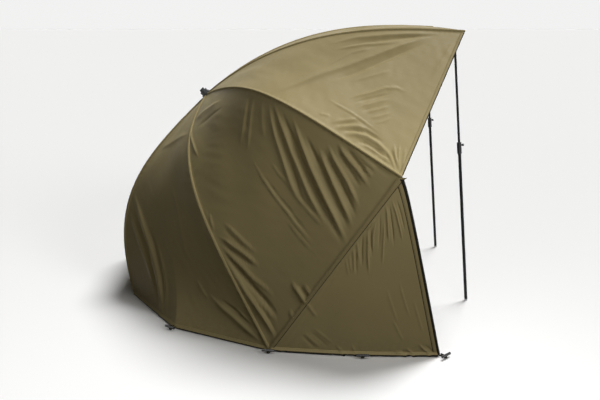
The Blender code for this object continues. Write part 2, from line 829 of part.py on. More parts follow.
def build_runner(plastic, steel):
    """Runner that slides along the mast, with slots for the stretchers and a grip."""
    centre = HUB + AXIS * RUNNER_OPEN
    bore = MAST_RADIUS + 2.0 * GAP
    profile = [
        (RUNNER_RADIUS, -RUNNER_HALF_DEPTH),
        (RUNNER_RADIUS, RUNNER_HALF_DEPTH),
        (RUNNER_GRIP_RADIUS, RUNNER_HALF_DEPTH + RUNNER_GRIP_RADIUS * RUNNER_NECK_SHARE),
        (RUNNER_GRIP_RADIUS, RUNNER_HALF_DEPTH + RUNNER_GRIP_LENGTH),
        (bore, RUNNER_HALF_DEPTH + RUNNER_GRIP_LENGTH),
        (bore, -RUNNER_HALF_DEPTH),
    ]
    runner = add_piece("runner", turned(profile, centre, AXIS, FINE_SIDES, True), centre, plastic)
    slots = radial_slots(
        "cut_runner_slots", RUNNER_OPEN, -2.0 * RUNNER_HALF_DEPTH,
        RUNNER_HALF_DEPTH + RUNNER_GRIP_RADIUS * RUNNER_SLOT_SHARE, STRETCHER_SLOT,
        RUNNER_CORE_RADIUS, 2.0 * RUNNER_RADIUS,
    )
    shape_with(runner, slots, "DIFFERENCE")
    groove = ring_tube(centre, AXIS, HINGE_RADIUS, EYE_RADIUS, 4 * RIB_COUNT, ROD_SIDES)
    shape_with(runner, add_cutter("cut_runner_groove", groove, centre), "DIFFERENCE")
    wire = ring_tube(centre, AXIS, HINGE_RADIUS, WIRE_RADIUS, 4 * RIB_COUNT, ROD_SIDES)
    add_piece("runner_hinge_wire", wire, centre, steel)


def pin_spot(place, share):
    """Radius and drop of the stretcher's pin under the rib at a share of its length."""
    radius, drop = profile_at(place, share)
    heading = profile_heading(place, share)
    depth = ROD_DEPTH + PIN_DEPTH
    return Vector((radius - heading.y * depth, drop + heading.x * depth))


def folded_spot(place, spot):
    """Where a point of the rib's plane goes when the rib is folded."""
    hinge = Vector((HINGE_RADIUS, ROD_DEPTH))
    turn = fold_angle(place)
    offset = spot - hinge
    return hinge + Vector(
        (
            offset.x * math.cos(turn) - offset.y * math.sin(turn),
            offset.x * math.sin(turn) + offset.y * math.cos(turn),
        )
    )


def stretcher_fit(place):
    """Share of the rib at which one stretcher length suits both the open and the folded rib."""
    open_pivot = Vector((HINGE_RADIUS, RUNNER_OPEN))
    folded_pivot = Vector((HINGE_RADIUS, RUNNER_OPEN + RUNNER_TRAVEL))
    low = 0.0
    high = 0.5
    for _ in range(FIT_STEPS):
        share = 0.5 * (low + high)
        spot = pin_spot(place, share)
        length = (spot - open_pivot).length
        miss = (folded_spot(place, spot) - folded_pivot).length - length
        if miss > 0.0:
            low = share
        else:
            high = share
    return share, length


def stretcher_ends(place, side):
    """World pivots of a stretcher, on the runner and under the rib."""
    share = stretcher_fit(place)[0]
    spot = pin_spot(place, share)
    turn = rib_turn(place, side)
    return umbrella_point(turn, HINGE_RADIUS, RUNNER_OPEN), umbrella_point(turn, spot.x, spot.y)


def build_stretchers(look):
    """Flat bars from the runner to the ribs, each forked round its rib."""
    half = STRETCHER_WIDTH * 0.5
    inner = ROD_RADIUS + 2.0 * GAP
    outer = inner + PRONG_THICKNESS
    for index in range(RIB_COUNT):
        place, side = rib_at(index)
        start, end = stretcher_ends(place, side)
        length = (end - start).length
        along = (end - start).normalized()
        across = AXIS.cross(outward(rib_turn(place, side))).normalized()
        normal = along.cross(across)
        tip = length + STRETCHER_HEIGHT * 0.5
        root = length - PRONG_LENGTH
        outline = [
            (-STRETCHER_HEIGHT * 0.5, -half),
            (root - outer, -half),
            (root, -outer),
            (tip, -outer),
            (tip, -inner),
            (root + PRONG_THICKNESS, -inner),
            (root + PRONG_THICKNESS, inner),
            (tip, inner),
            (tip, outer),
            (root, outer),
            (root - outer, half),
            (-STRETCHER_HEIGHT * 0.5, half),
        ]
        reach = STRETCHER_HEIGHT * 0.5
        shape = prism(outline, start, along, across, normal, -reach, reach)
        piece = add_piece(f"stretcher_{place}_{side}", shape, start, look, smooth=False)
        eye = rod([start - across * SLOT_WIDTH, start + across * SLOT_WIDTH], EYE_RADIUS, ROD_SIDES)
        shape_with(piece, add_cutter(f"cut_stretcher_eye_{index}", eye, start), "DIFFERENCE")


# Storm poles


def pole_line(side):
    """Pivot, foot and clip share of a storm pole."""
    sign = -1.0 if side == "right" else 1.0
    share = 1.0 - POLE_CLIP_BACK / PROFILES["front"][1]
    pivot = under_rib("front", side, share, ROD_DEPTH + POLE_PIVOT_DEPTH)
    foot = Vector((POLE_FOOT_FORWARD, sign * POLE_FOOT_SIDE, 0.0))
    return pivot, foot, share


def pole_swing(side):
    """Swing axis and angle that lay a storm pole between the folded back and rear ribs."""
    pivot, foot, _ = pole_line(side)
    turn = PACKED_POLE_TURN if side == "right" else -PACKED_POLE_TURN
    hinge = hinge_point("front", side)
    unfold = Matrix.Rotation(-fold_angle("front"), 3, hinge_axis("front", side))
    packed = hinge + unfold @ (umbrella_point(turn, PACKED_POLE_RADIUS, 0.0) - hinge)
    down = (foot - pivot).normalized()
    back = (packed - pivot).normalized()
    return down.cross(back).normalized(), down.angle(back)


def build_storm_poles(metal, plastic, steel):
    """Storm poles under the front ribs: clip, rod, tube, collar, lock screw and spike."""
    for side in SIDES:
        pivot, foot, share = pole_line(side)
        down = (foot - pivot).normalized()
        swing_axis = pole_swing(side)[0]
        along = swing_axis.cross(down)

        rod_underside = POLE_PIVOT_DEPTH - ROD_RADIUS - GAP
        slot = POLE_ROD_RADIUS + 2.0 * GAP
        outer = slot + CLIP_EAR
        tip = POLE_ROD_RADIUS + 3.0 * GAP
        roof = rod_underside * CLIP_ROOF_SHARE
        rib_normal = (under_rib("front", side, share, 0.0) - pivot).normalized()
        ear_up = (rib_normal - swing_axis * rib_normal.dot(swing_axis)).normalized()
        ear_along = swing_axis.cross(ear_up)
        outline = [
            (-outer, -tip),
            (-slot, -tip),
            (-slot, roof),
            (slot, roof),
            (slot, -tip),
            (outer, -tip),
            (outer, rod_underside - 3.0 * GAP),
            (-outer, rod_underside - 3.0 * GAP),
        ]
        reach = CLIP_LENGTH * 0.5
        shape = prism(outline, pivot, swing_axis, ear_up, ear_along, -reach, reach)
        clip = add_piece(f"storm_pole_clip_{side}", shape, pivot, plastic, smooth=False)
        ends = [pivot - swing_axis * (outer - GAP), pivot + swing_axis * (outer - GAP)]
        pin = rod(ends, CLIP_PIN_RADIUS, SMALL_SIDES)
        shape_with(clip, add_cutter(f"join_clip_pin_{side}", pin, pivot), "UNION")

        total = (foot - pivot).length
        lock = total * (1.0 - POLE_LOCK_HEIGHT / pivot.z)
        profile = [
            (0.0, -POLE_ROD_RADIUS),
            (POLE_ROD_RADIUS * POLE_NOSE_WIDTH_SHARE, -POLE_ROD_RADIUS),
            (POLE_ROD_RADIUS, -POLE_ROD_RADIUS * POLE_NOSE_DEPTH_SHARE),
            (POLE_ROD_RADIUS, lock + POLE_OVERLAP),
            (0.0, lock + POLE_OVERLAP),
        ]
        shape = turned(profile, pivot, down, SMALL_SIDES)
        upper = add_piece(f"storm_pole_rod_{side}", shape, pivot, metal)
        hole = rod(
            [pivot - swing_axis * SLOT_WIDTH, pivot + swing_axis * SLOT_WIDTH],
            CLIP_PIN_RADIUS + GAP,
            SMALL_SIDES,
        )
        shape_with(upper, add_cutter(f"cut_pole_eye_{side}", hole, pivot), "DIFFERENCE")

        bore = POLE_TUBE_RADIUS - POLE_TUBE_WALL
        end = total - POLE_TUBE_RADIUS
        shape = turned(tube_profile(POLE_TUBE_RADIUS, bore, lock, end), pivot, down, SMALL_SIDES, True)
        add_piece(f"storm_pole_tube_{side}", shape, foot, metal)

        plug = bore - GAP
        plug_top = end - POLE_SPIKE_DEPTH * POLE_SPIKE_PLUG_SHARE
        profile = [
            (0.0, plug_top),
            (plug, plug_top),
            (plug, end + GAP),
            (POLE_TUBE_RADIUS, end + GAP),
            (POLE_TUBE_RADIUS, total),
            (plug, total + POLE_TUBE_RADIUS * SPIKE_CONE_SHARE),
            (plug * SPIKE_POINT_SHARE, total + POLE_SPIKE_DEPTH * SPIKE_POINT_SHARE),
            (0.0, total + POLE_SPIKE_DEPTH),
        ]
        shape = turned(profile, pivot, down, SMALL_SIDES)
        add_piece(f"storm_pole_spike_{side}", shape, foot, steel)

        wide = POLE_TUBE_RADIUS + GAP
        narrow = POLE_ROD_RADIUS + GAP
        outer = wide + POLE_COLLAR_WALL
        low = lock - COLLAR_OVERLAP
        high = lock + COLLAR_OVERLAP
        profile = collar_profile(outer, wide, narrow, lock - GAP, high, low)
        shape = turned(profile, pivot, down, MEDIUM_SIDES, True)
        collar = add_piece(f"storm_pole_collar_{side}", shape, pivot + down * lock, plastic)
        base = pivot + down * (lock - COLLAR_OVERLAP * 0.5)
        out = side_directions(down, Vector((1.0, 0.0, 0.0)))[0]
        shank = POLE_TUBE_WALL * POLE_SHANK_SHARE
        screw_hole(collar, f"cut_pole_collar_{side}", base, out, shank + GAP, outer * 2.0)
        clamp_screw(
            f"storm_pole_lock_screw_{side}", base, out, shank, narrow, outer,
            POLE_ROD_RADIUS, outer, plastic,
        )


# Pegs


def peg_spots(side):
    """Peg names with the hem point that each holds and the way out from it."""
    _, back, front = wing_corners(side)
    sign = -1.0 if side == "right" else 1.0
    corner = gore_point(PLACES.index("back"), 0.5, 1.0)
    hems = {
        "wing_front": front,
        "wing_middle": wing_point(side, 1.0, WING_PEG_SHARE),
        "back_foot": back,
        "back_middle": Vector((corner.x, sign * abs(corner.y), 0.0)),
    }
    spots = {}
    for place, hem in hems.items():
        forward, sideways = PEG_WAY_SHARES[place]
        spots[place] = (hem, Vector((forward, sign * sideways, 0.0)))
    return spots


def peg_line(hem, out):
    """Where a peg's bar is, and the direction in which its shaft goes into the ground."""
    out = out.normalized()
    head = Vector((hem.x, hem.y, 0.0)) + out * PEG_CLEARANCE + UP * PEG_BAR_HEIGHT
    into = (-UP * math.cos(PEG_LEAN) - out * math.sin(PEG_LEAN)).normalized()
    return head, into


def build_pegs(look):
    """T-pegs through the hem's loops."""
    for side in SIDES:
        for place, (hem, out) in peg_spots(side).items():
            head, into = peg_line(hem, out)
            profile = [
                (0.0, 0.0),
                (PEG_SHAFT_RADIUS, 0.0),
                (PEG_SHAFT_RADIUS, PEG_SHAFT_LENGTH * PEG_POINT_SHARE),
                (0.0, PEG_SHAFT_LENGTH),
            ]
            shape = turned(profile, head, into, SMALL_SIDES)
            name = f"peg_{place}_{side}"
            peg = add_piece(name, shape, head, look)
            across = into.cross(out).normalized() * (PEG_BAR_LENGTH * 0.5)
            bar = rod([head - across, head + across], PEG_BAR_RADIUS, SMALL_SIDES)
            shape_with(peg, add_cutter(f"join_{name}", bar, head), "UNION")


def sew_tabs():
    """Webbing tab from the hem to each peg, as part of the cloth that it is sewn to."""
    for side in SIDES:
        spots = peg_spots(side)
        hem_ends = {"back_middle": spots["back_foot"][0], "back_foot": spots["back_middle"][0]}
        for place, (hem, out) in spots.items():
            carrier = bpy.data.objects[f"{TAB_CARRIERS[place]}_{side}"]
            out = out.normalized()
            across = out.cross(UP)
            base = Vector((hem.x, hem.y, FOOT_HEIGHT + TAB_LIFT))
            if place in hem_ends:
                aside = TAB_WIDTH * 0.5 + TAB_SPLIT_MARGIN
                base = base + across * math.copysign(aside, across.dot(hem_ends[place] - hem))
            lean = (PEG_BAR_HEIGHT - base.z) * math.tan(PEG_LEAN)
            end = PEG_CLEARANCE - lean - PEG_SHAFT_RADIUS / math.cos(PEG_LEAN) - GAP
            half = TAB_WIDTH * 0.5
            outline = [(-TAB_ROOT, -half), (end, -half), (end, half), (-TAB_ROOT, half)]
            shape = prism(outline, base, out, across, UP, 0.0, TAB_THICKNESS)
            tab = add_cutter(f"join_tab_{place}_{side}", shape, base)
            shape_with(carrier, tab, "UNION")


def main():
    for leftover in list(bpy.data.objects):
        bpy.data.objects.remove(leftover, do_unlink=True)
    nylon = material("coated nylon", (0.20, 0.17, 0.10), 0.50, 0.0)
    fibreglass = material("black fibreglass", (0.03, 0.03, 0.03), 0.40, 0.0)
    plastic = material("black moulded plastic", (0.025, 0.025, 0.025), 0.45, 0.0)
    metal = material("black anodised tube", (0.04, 0.04, 0.04), 0.35, 0.8)
    steel = material("bright steel", (0.45, 0.45, 0.46), 0.30, 1.0)
    build_boss(plastic, steel)
    build_mast(metal, plastic, steel)
    build_runner(plastic, steel)
    build_ribs(fibreglass)
    build_stretchers(metal)
    build_storm_poles(metal, plastic, steel)
    build_pegs(plastic)
    build_canopy(nylon)
    build_wings(nylon)
    sew_tabs()


main()
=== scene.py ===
"""Dressing of the fishing umbrella: cloth, seams, hems, webbing loops, finishes and studio.

Metres, in the frame of the solid pieces: the origin is where the mast's spike goes into the
ground, +X is the open front and -Y is the right-hand side of someone who looks out.
"""

import math

import bpy
import numpy as np
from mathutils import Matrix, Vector


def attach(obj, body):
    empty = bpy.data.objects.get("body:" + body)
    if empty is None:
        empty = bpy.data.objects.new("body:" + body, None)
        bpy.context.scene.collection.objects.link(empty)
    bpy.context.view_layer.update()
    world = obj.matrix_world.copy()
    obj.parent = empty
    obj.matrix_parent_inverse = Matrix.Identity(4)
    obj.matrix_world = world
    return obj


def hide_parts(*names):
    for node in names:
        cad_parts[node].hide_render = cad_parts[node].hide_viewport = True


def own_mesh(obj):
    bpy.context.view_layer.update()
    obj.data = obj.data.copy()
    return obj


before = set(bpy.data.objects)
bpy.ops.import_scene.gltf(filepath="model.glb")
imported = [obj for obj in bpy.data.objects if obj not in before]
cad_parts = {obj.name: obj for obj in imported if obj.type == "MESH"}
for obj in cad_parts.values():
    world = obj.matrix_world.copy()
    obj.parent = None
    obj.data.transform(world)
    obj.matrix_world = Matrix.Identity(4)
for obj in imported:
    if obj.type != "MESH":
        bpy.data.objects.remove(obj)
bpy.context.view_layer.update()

# Shape of the umbrella, the same as in the solid pieces
RIB_COUNT = 8
TILT = math.radians(44.0)
BOSS_HEIGHT = 1.020
HINGE_RADIUS = 0.030
EYE_RADIUS = 0.0098
FOOT_HEIGHT = 0.003
REACHES = {"front": 1.262, "side": 1.285, "back": 1.226, "rear": 1.065}
TIP_DROPS = {"front": 0.697, "side": 0.828}
START_ANGLES = {"front": 84.0, "side": 84.0, "back": 84.0, "rear": 92.0}
END_ANGLES = {"front": 43.0, "side": 34.0, "back": 31.5, "rear": 31.0}
START_PULL_SHARES = {"front": 0.48, "side": 0.62, "back": 0.56, "rear": 0.48}
END_PULL_SHARES = {"front": 0.34, "side": 0.56, "back": 0.59, "rear": 0.48}
BACK_HEM_PULL_BACK = 0.0905
BACK_HEM_PULL_SIDE = 0.0975
WING_LENGTH = 0.748
WING_FLARE = 0.057
WING_PULL = 0.022
WING_PEG_SHARE = 0.545
PEG_LEAN = math.radians(24.0)
PEG_CLEARANCE = 0.030
PEG_BAR_HEIGHT = 0.016

# Sag of the gores, and the pull of the pegs on the hem
GORE_SAG_SHARES = {"front": 0.012, "side": 0.034, "back": 0.016, "rear": 0.012}
PULL_POWER = 7
WING_PULL_POWER = 4
GROUND_SHARE = 0.9

# Folds fade and narrow towards their ends, and lean to one side
FOLD_UNIT = 0.001
FOLD_SHARPNESS = 1.6
FOLD_FADE_SHARE = 0.30
FOLD_END_SHARE = 0.55
FOLD_LEAN = 0.25
RELIEF_EDGE_SHARE = 0.06
SEAM_RIM_SHARE = 0.03
EDGE_RIM_SHARE = 0.02

# Ripples: runs are in lengths of the ripple itself
RIPPLE_COUNT = 14
RIPPLE_HEIGHT = 0.00016
RIPPLE_LENGTHS = (0.045, 0.110)
RIPPLE_SPREAD = 0.30
RIPPLE_BEND = 1.5
RIPPLE_BEND_RUN = 9.0
RIPPLE_SWELL_RUNS = (6.0, 7.0)
RIPPLE_FADE_SHARE = 0.3
RIPPLE_SLANTS = {0: -0.75, 1: 0.50, 2: 0.25, 3: 0.0}
WING_RIPPLE_SLANT = 0.1

# Gathers along the seams, with rates in radians by the metre or across the wing
PUCKER_HEIGHT = 0.0007
PUCKER_START = 0.006
PUCKER_REACH = 0.030
PUCKER_RATES = (190.0, 23.0, 11.0)
PUCKER_WANDER = 4.0
PUCKER_STEADY_SHARE = 0.6
PUCKER_FADE_SHARE = 0.2
GATHER_HEIGHT = 0.0016
GATHER_RATE = 95.0
GATHER_UNEVENNESS = 17.0
GATHER_WANDER = 3.0
GATHER_START_SHARE = 0.05
GATHER_REACH_SHARE = 1.0 / 9.0
SEAM_DROP = 0.0035
SEAM_DROP_START = 0.020
SEAM_DROP_REACH = 0.090

# Slow unevenness: waves across and down, phase by gore, and weight
DRAPE_HEIGHT = 0.0022
DRAPE_WAVES = ((1.3, 2.1, 1.0, 1.0), (2.2, -3.3, 2.0, 0.6))

# Seams, hems and tapes
TAPE_HEIGHT = 0.0010
WELT_WIDTH = 0.020
WELT_HEIGHT = 0.0034
SEAM_OFFSET_SHARES = (-0.5, -0.47, -0.36, -0.18, 0.0, 0.18, 0.36, 0.47, 0.5)
HEM_WIDTH = 0.019
HEM_THICKNESS = 0.0020
HEM_FLARE = 0.006
HEM_FLARE_POWER = 1.5
HEM_ROW_SHARES = (0.0, 0.06, 0.5, 0.94, 1.0)
HEM_TURNED_SHARE = 1.1
HEM_LIFTS = (0.0002, 0.0011, 0.0012, 0.0013, 0.0013)
EDGE_TAPE_WIDTH = 0.012
EDGE_HEM_WIDTH = 0.030
EDGE_BOW = 0.011
EDGE_BOW_POWER = 0.45
FELLED_WIDTH = 0.024
# Painted shadow: a dark line of these widths along the lower edge of the canopy's and the wings' hems
HEM_SHADOW_LINE = 0.004
WING_HEM_SHADOW_LINE = 0.006
# Painted crease shade: a dark line of these widths along the inner edge of the wing's edge band and
# along one edge of the felled seam
EDGE_BAND_SHADE_LINE = 0.0022
FELLED_SHADE_LINE = 0.0028
WING_TOP_SHARE = 0.003

# Trims of a wing: width, shares of it for the columns, lifts in tape heights, shares of the edge
# where the tape starts and for which it runs, share where its middle is, and the way its painted shade
# line faces
WING_TRIMS = {
    "seam": (
        FELLED_WIDTH, (-0.5, -0.44, -0.2, 0.0, 0.2, 0.44, 0.5),
        (0.0002, 1.1, 1.5, 1.7, 2.0, 1.9, 0.0002), 0.004, 0.992, 0.0, 1.0,
    ),
    "front_band": (
        EDGE_HEM_WIDTH, (-1.0, -0.97, -0.7, -0.34), (0.0002, 1.3, 1.5, 1.4), 0.044, 0.955, -0.5, -1.0,
    ),
    "front_edge": (
        EDGE_TAPE_WIDTH, (-1.0, -0.94, -0.5, -0.06, 0.0), (1.0, 2.4, 3.0, 2.4, -1.0),
        0.012, 0.987, -0.5, 1.0,
    ),
    "hem": (
        HEM_WIDTH, (0.0, 0.06, 0.5, 0.98, 1.0), (0.0002, 1.2, 4.0, 8.5, 9.0), 0.0, 0.985, 0.5, 1.0,
    ),
}

# Webbing loops: points and ways are ahead and aside
WEBBING_WIDTH = 0.010
WEBBING_THICKNESS = 0.0013
LOOP_RADIUS = 0.0062
LOOP_STEPS = 8
LOOP_STRAIGHT = 0.004
LOOP_ENDS = [(-0.004, 0.0075), (0.008, 0.0068)]
LOOP_LEVEL = 0.0045
LOOP_HEIGHT = 0.008
LOOP_SINK = 0.001
LOOP_LENGTH = 0.07
LOOP_WAYS = {
    "wing_front": (0.7, 0.7), "wing_middle": (0.0, 1.0),
    "back_foot": (-0.15, 1.0), "back_middle": (-0.6, 0.8),
}
SHARP_ANGLE = math.radians(40.0)

# Mesh resolution
HALF_COLUMNS = 56
ROWS = 230
WING_STEPS = 150
PROFILE_STEPS = 240

# Camera: the photo's own frame is 600 pixels wide and 400 high
PHOTO_WIDTH = 600
PHOTO_HEIGHT = 400
SENSOR = 36.0
LENS = 48.396
CAMERA_SPOT = np.array((-0.543, -4.4602, 1.4725))
CAMERA_PITCH = math.radians(13.266)
PIXEL_SIZE = 0.0055

# Sockets of a colour mix
MIX_FIRST, MIX_SECOND, MIX_RESULT = 6, 7, 2

# Colours and finishes
NYLON = (0.360, 0.292, 0.140)
WEBBING = (0.070, 0.062, 0.040)
# Black of the wing's front binding, also the colour of the painted shade lines along tape edges
BINDING_BLACK_AND_PAINTED_SHADE = (0.022, 0.020, 0.015)
BLACK = (0.012, 0.012, 0.013)
ANODISED = (0.020, 0.020, 0.021)
STEEL = (0.42, 0.42, 0.43)
FIBREGLASS = (0.016, 0.016, 0.016)
TUBES = ("stretcher_", "storm_pole_rod", "storm_pole_tube", "mast_upper_tube", "mast_lower_tube")
CLOTH_MAP = "cloth"
CLOTH_GLOSS = {"Specular IOR Level": 0.07}
SOIL_HEIGHT = 0.10
SOIL_LEVEL = 0.30
CRUMPLE_DEPTH = 0.005
CREASES = ((0.45, 0.085, 0.07), (-0.35, 0.110, 0.06))
CREASE_STRETCH = 6.0
CREASE_WIDTH = 0.04
CREASE_DEPTH = 0.0012
NYLON_PITCH = 0.0011
NYLON_WEAVE_DEPTH = 0.0002
TAPE_PITCH = 0.0016
TAPE_WEAVE_DEPTH = 0.0004
STITCH_WIDTH = 0.001
STITCH_DEPTH = 0.0005
STITCH_PITCH = 0.0042
STITCH_LENGTH_SHARE = 0.72
STITCH_ROW_SHARE = 0.31
GRAIN_DEPTH = 0.0004
DRAWING_SCALE = (60.0, 60.0, 3.6)
DRAWING_DEPTH = 0.0002
SMOOTHER, DRAWN_SMOOTHER, ROUGHER = 0.07, 0.08, 0.12

# Studio: suns have a turn, climb, level and width, in degrees; panels a place, aim, size and power
FLOOR_REACH = 60.0
FLOOR_SEEN = (0.95, 0.95, 0.945)
FLOOR_UNSEEN = (0.050, 0.043, 0.032)
WORLD_SEEN = (0.885, 0.885, 0.880)
WORLD_UNSEEN = (0.022, 0.020, 0.016)
SUNS = {"key_sun": (58.0, 62.0, 0.94, 24.0), "side_sun": (-46.0, 22.0, 0.18, 24.0)}
PANELS = {
    "near_panel": ((-1.00, -2.20, 1.95), (-0.65, -1.00, 0.45), 0.60, 3.5),
    "front_panel": ((0.30, -1.90, 1.50), (-0.65, -1.00, 0.45), 0.60, 5.5),
}

PLACES = ("front", "side", "back", "rear")
RIBS = [(place, "right") for place in PLACES] + [(place, "left") for place in PLACES[::-1]]
SIGNS = {"right": -1.0, "left": 1.0}
UNSEEN_GORES = (3, 7)
AXIS = np.array((math.cos(TILT), 0.0, -math.sin(TILT)))
RISE = np.array((math.sin(TILT), 0.0, math.cos(TILT)))
RIGHT = np.array((0.0, -1.0, 0.0))
UP = np.array((0.0, 0.0, 1.0))
HUB = -AXIS * (BOSS_HEIGHT / math.sin(TILT))
HALF_STEP = math.pi / RIB_COUNT
SMALLEST = 1e-12

# Folds of the cloth. Each is (height and half width in millimetres, points in photo pixels),
# and a valley has a height below zero. The left half of the umbrella mirrors the right one.

FRONT_FOLDS = (
    (12, 19, (436, 34), (401, 46), (374, 57), (350, 66), (326, 74), (300, 84), (270, 94)),
    (-8, 12, (428, 42), (401, 53), (374, 65), (352, 74), (324, 83)),
    (7, 12, (446, 33), (412, 34), (389, 35), (357, 38), (326, 45)),
    (-5, 9, (442, 35), (400, 38), (365, 42), (333, 48)),
    (5, 8, (411, 40), (392, 43), (364, 45), (332, 50)),
    (4, 8, (378, 47), (352, 53), (326, 66)),
    (2.5, 9, (456, 38), (442, 62), (430, 80)),
    (3, 7, (350, 82), (372, 76), (394, 70)),
    (5, 7, (346, 99), (361, 95), (373, 92), (386, 88), (397, 88), (410, 93)),
    (-4, 6, (352, 103), (366, 99), (380, 96), (393, 93)),
    (4, 6, (357, 107), (369, 104), (381, 101), (392, 99)),
    (-3, 5, (360, 111), (371, 108), (384, 105)),
    (4, 6, (364, 113), (374, 110), (383, 108), (392, 105)),
    (3, 5, (368, 118), (380, 116), (392, 112)),
    (2.4, 5, (374, 123), (384, 121), (393, 117)),
    (3.4, 4.5, (326, 98), (338, 105), (349, 111), (361, 119), (370, 126), (380, 133)),
    (-1.8, 4, (344, 110), (358, 119), (372, 129), (384, 139)),
    (3, 5, (318, 113), (325, 114), (331, 116)),
    (4, 6, (328, 123), (340, 120), (352, 119), (361, 117)),
    (-5, 6, (333, 125), (344, 123), (354, 122), (362, 121)),
    (6, 8, (333, 129), (346, 126), (358, 126), (370, 130)),
    (-8, 7, (338, 131), (354, 129), (366, 131), (376, 137), (385, 144)),
    (11, 9, (342, 134), (356, 134), (367, 137), (377, 143), (387, 152), (393, 160)),
    (-7, 6, (354, 140), (366, 143), (377, 150), (388, 160)),
    (8, 6, (358, 143), (368, 146), (378, 153), (387, 160), (394, 166)),
    (-5, 5, (366, 147), (376, 154), (386, 162), (393, 168)),
    (6, 5, (370, 151), (378, 157), (386, 164), (395, 171)),
    (6, 5, (386, 150), (391, 158), (394, 165), (397, 172)),
    (-4, 4.5, (390, 148), (394, 158), (397, 168)),
    (5, 5, (394, 143), (395, 153), (397, 163), (399, 172)),
    (5, 5, (400, 143), (399, 154), (399, 164), (400, 173)),
    (3, 5, (406, 146), (404, 160), (402, 173)),
)

SIDE_FOLDS = (
    (5, 12, (248, 94), (246, 108), (243, 128), (239, 146)),
    (-4, 10, (250, 98), (248, 114), (246, 134)),
    (4, 10, (254, 95), (251, 115), (249, 134), (247, 152)),
    (3, 12, (262, 100), (262, 120), (264, 140)),
    (9, 12, (268, 100), (271, 118), (276, 138), (283, 159), (290, 180), (297, 197), (304, 210)),
    (-10, 11, (272, 104), (277, 126), (284, 146), (291, 165), (296, 180), (300, 193), (306, 205)),
    (12, 13, (272, 99), (279, 119), (286, 136), (292, 152), (299, 168), (305, 183), (312, 199),
     (320, 214), (328, 230)),
    (-15, 13, (280, 108), (289, 130), (296, 148), (302, 162), (308, 176), (315, 191), (323, 206),
     (332, 223), (344, 248)),
    (16, 13, (291, 114), (299, 136), (306, 153), (312, 168), (319, 183), (326, 198), (334, 214),
     (341, 230), (349, 248)),
    (-13, 11, (304, 132), (315, 156), (322, 170), (328, 184), (335, 198), (341, 211), (350, 233)),
    (12, 10, (317, 145), (323, 159), (329, 172), (335, 186), (341, 199), (347, 212), (354, 230)),
    (-10, 9, (322, 146), (331, 165), (339, 180), (346, 194), (352, 207), (358, 220)),
    (11, 10, (326, 142), (334, 158), (341, 170), (348, 182), (354, 195), (360, 210)),
    (-7, 8, (335, 146), (344, 162), (353, 175), (362, 190)),
    (10, 8, (336, 140), (344, 153), (351, 162), (358, 170), (365, 180), (371, 189)),
    (-8, 7, (344, 145), (354, 158), (361, 167), (369, 177)),
    (9, 7, (346, 140), (357, 152), (366, 161), (374, 168), (380, 173)),
    (6, 5, (363, 165), (368, 171), (373, 177)),
    (-7, 6, (369, 159), (379, 168), (388, 174), (396, 178)),
    (5, 5, (376, 160), (385, 168), (393, 174)),
    (5, 5, (249, 154), (263, 178), (275, 196), (286, 210), (296, 224), (307, 237), (322, 253)),
    (-4.5, 4, (262, 172), (276, 193), (288, 208), (298, 222), (310, 236)),
    (3.6, 4.5, (269, 160), (280, 175), (289, 185), (298, 195)),
    (5, 6, (294, 192), (303, 204), (313, 215), (325, 228)),
    (-4, 5, (298, 193), (307, 204), (317, 216)),
    (3.2, 4.5, (284, 216), (300, 238), (318, 256)),
    (2, 5, (336, 186), (342, 194), (350, 202)),
    (5, 7, (190, 126), (191, 138), (195, 150), (198, 158)),
    (5, 10, (192, 122), (205, 111), (222, 99)),
    (-3, 8, (196, 128), (208, 118), (224, 106)),
    (5, 5, (209, 212), (211, 221), (214, 232)),
    (3, 5, (203, 206), (208, 218), (213, 229)),
    (7, 8, (222, 221), (234, 232), (244, 242), (258, 254)),
    (-4, 6, (222, 228), (234, 239), (246, 249)),
    (12, 8, (216, 235), (227, 241), (238, 249), (250, 258), (261, 268)),
    (-8, 6, (219, 241), (230, 250), (242, 258), (256, 269)),
    (9, 8, (219, 243), (230, 255), (242, 266), (254, 279), (267, 289), (276, 299)),
    (-14, 10, (220, 247), (231, 262), (243, 275), (254, 288), (266, 301), (281, 320)),
    (16, 11, (218, 246), (229, 265), (238, 280), (247, 294), (257, 307), (266, 320), (273, 333),
     (277, 345)),
    (6, 6, (253, 297), (267, 310), (278, 323)),
    (-5, 5, (262, 311), (270, 322), (278, 336)),
    (-8, 6, (236, 284), (248, 304), (258, 320), (267, 336), (272, 346)),
    (5, 4, (243, 292), (253, 309), (262, 326), (271, 346)),
    (11, 8, (290, 280), (298, 291), (304, 300), (313, 312)),
    (-8, 7, (297, 283), (306, 295), (315, 307)),
    (6, 6, (303, 284), (310, 293), (318, 302)),
    (7, 6, (288, 309), (293, 317), (299, 325)),
)

BACK_FOLDS = (
    (14, 15, (132, 190), (142, 218), (150, 240), (158, 260), (166, 281), (173, 299), (181, 324)),
    (-9, 8, (131, 200), (141, 226), (148, 244), (154, 263), (161, 281), (168, 298), (176, 320)),
    (9, 8, (128, 208), (136, 229), (142, 244), (149, 260), (156, 275), (164, 294)),
    (-7, 8, (148, 224), (158, 250), (168, 274), (178, 304)),
    (5, 8, (156, 236), (168, 268), (177, 296), (183, 320)),
    (2.5, 6, (200, 278), (206, 288), (213, 298)),
    (3, 12, (170, 180), (180, 220), (190, 262)),
    (8, 10, (212, 292), (223, 303), (236, 315), (249, 328), (263, 343)),
    (-6, 8, (222, 297), (238, 311), (252, 325), (263, 337)),
    (5, 7, (236, 306), (248, 320), (258, 333), (266, 345)),
    (4, 12, (190, 132), (176, 140), (160, 150)),
)

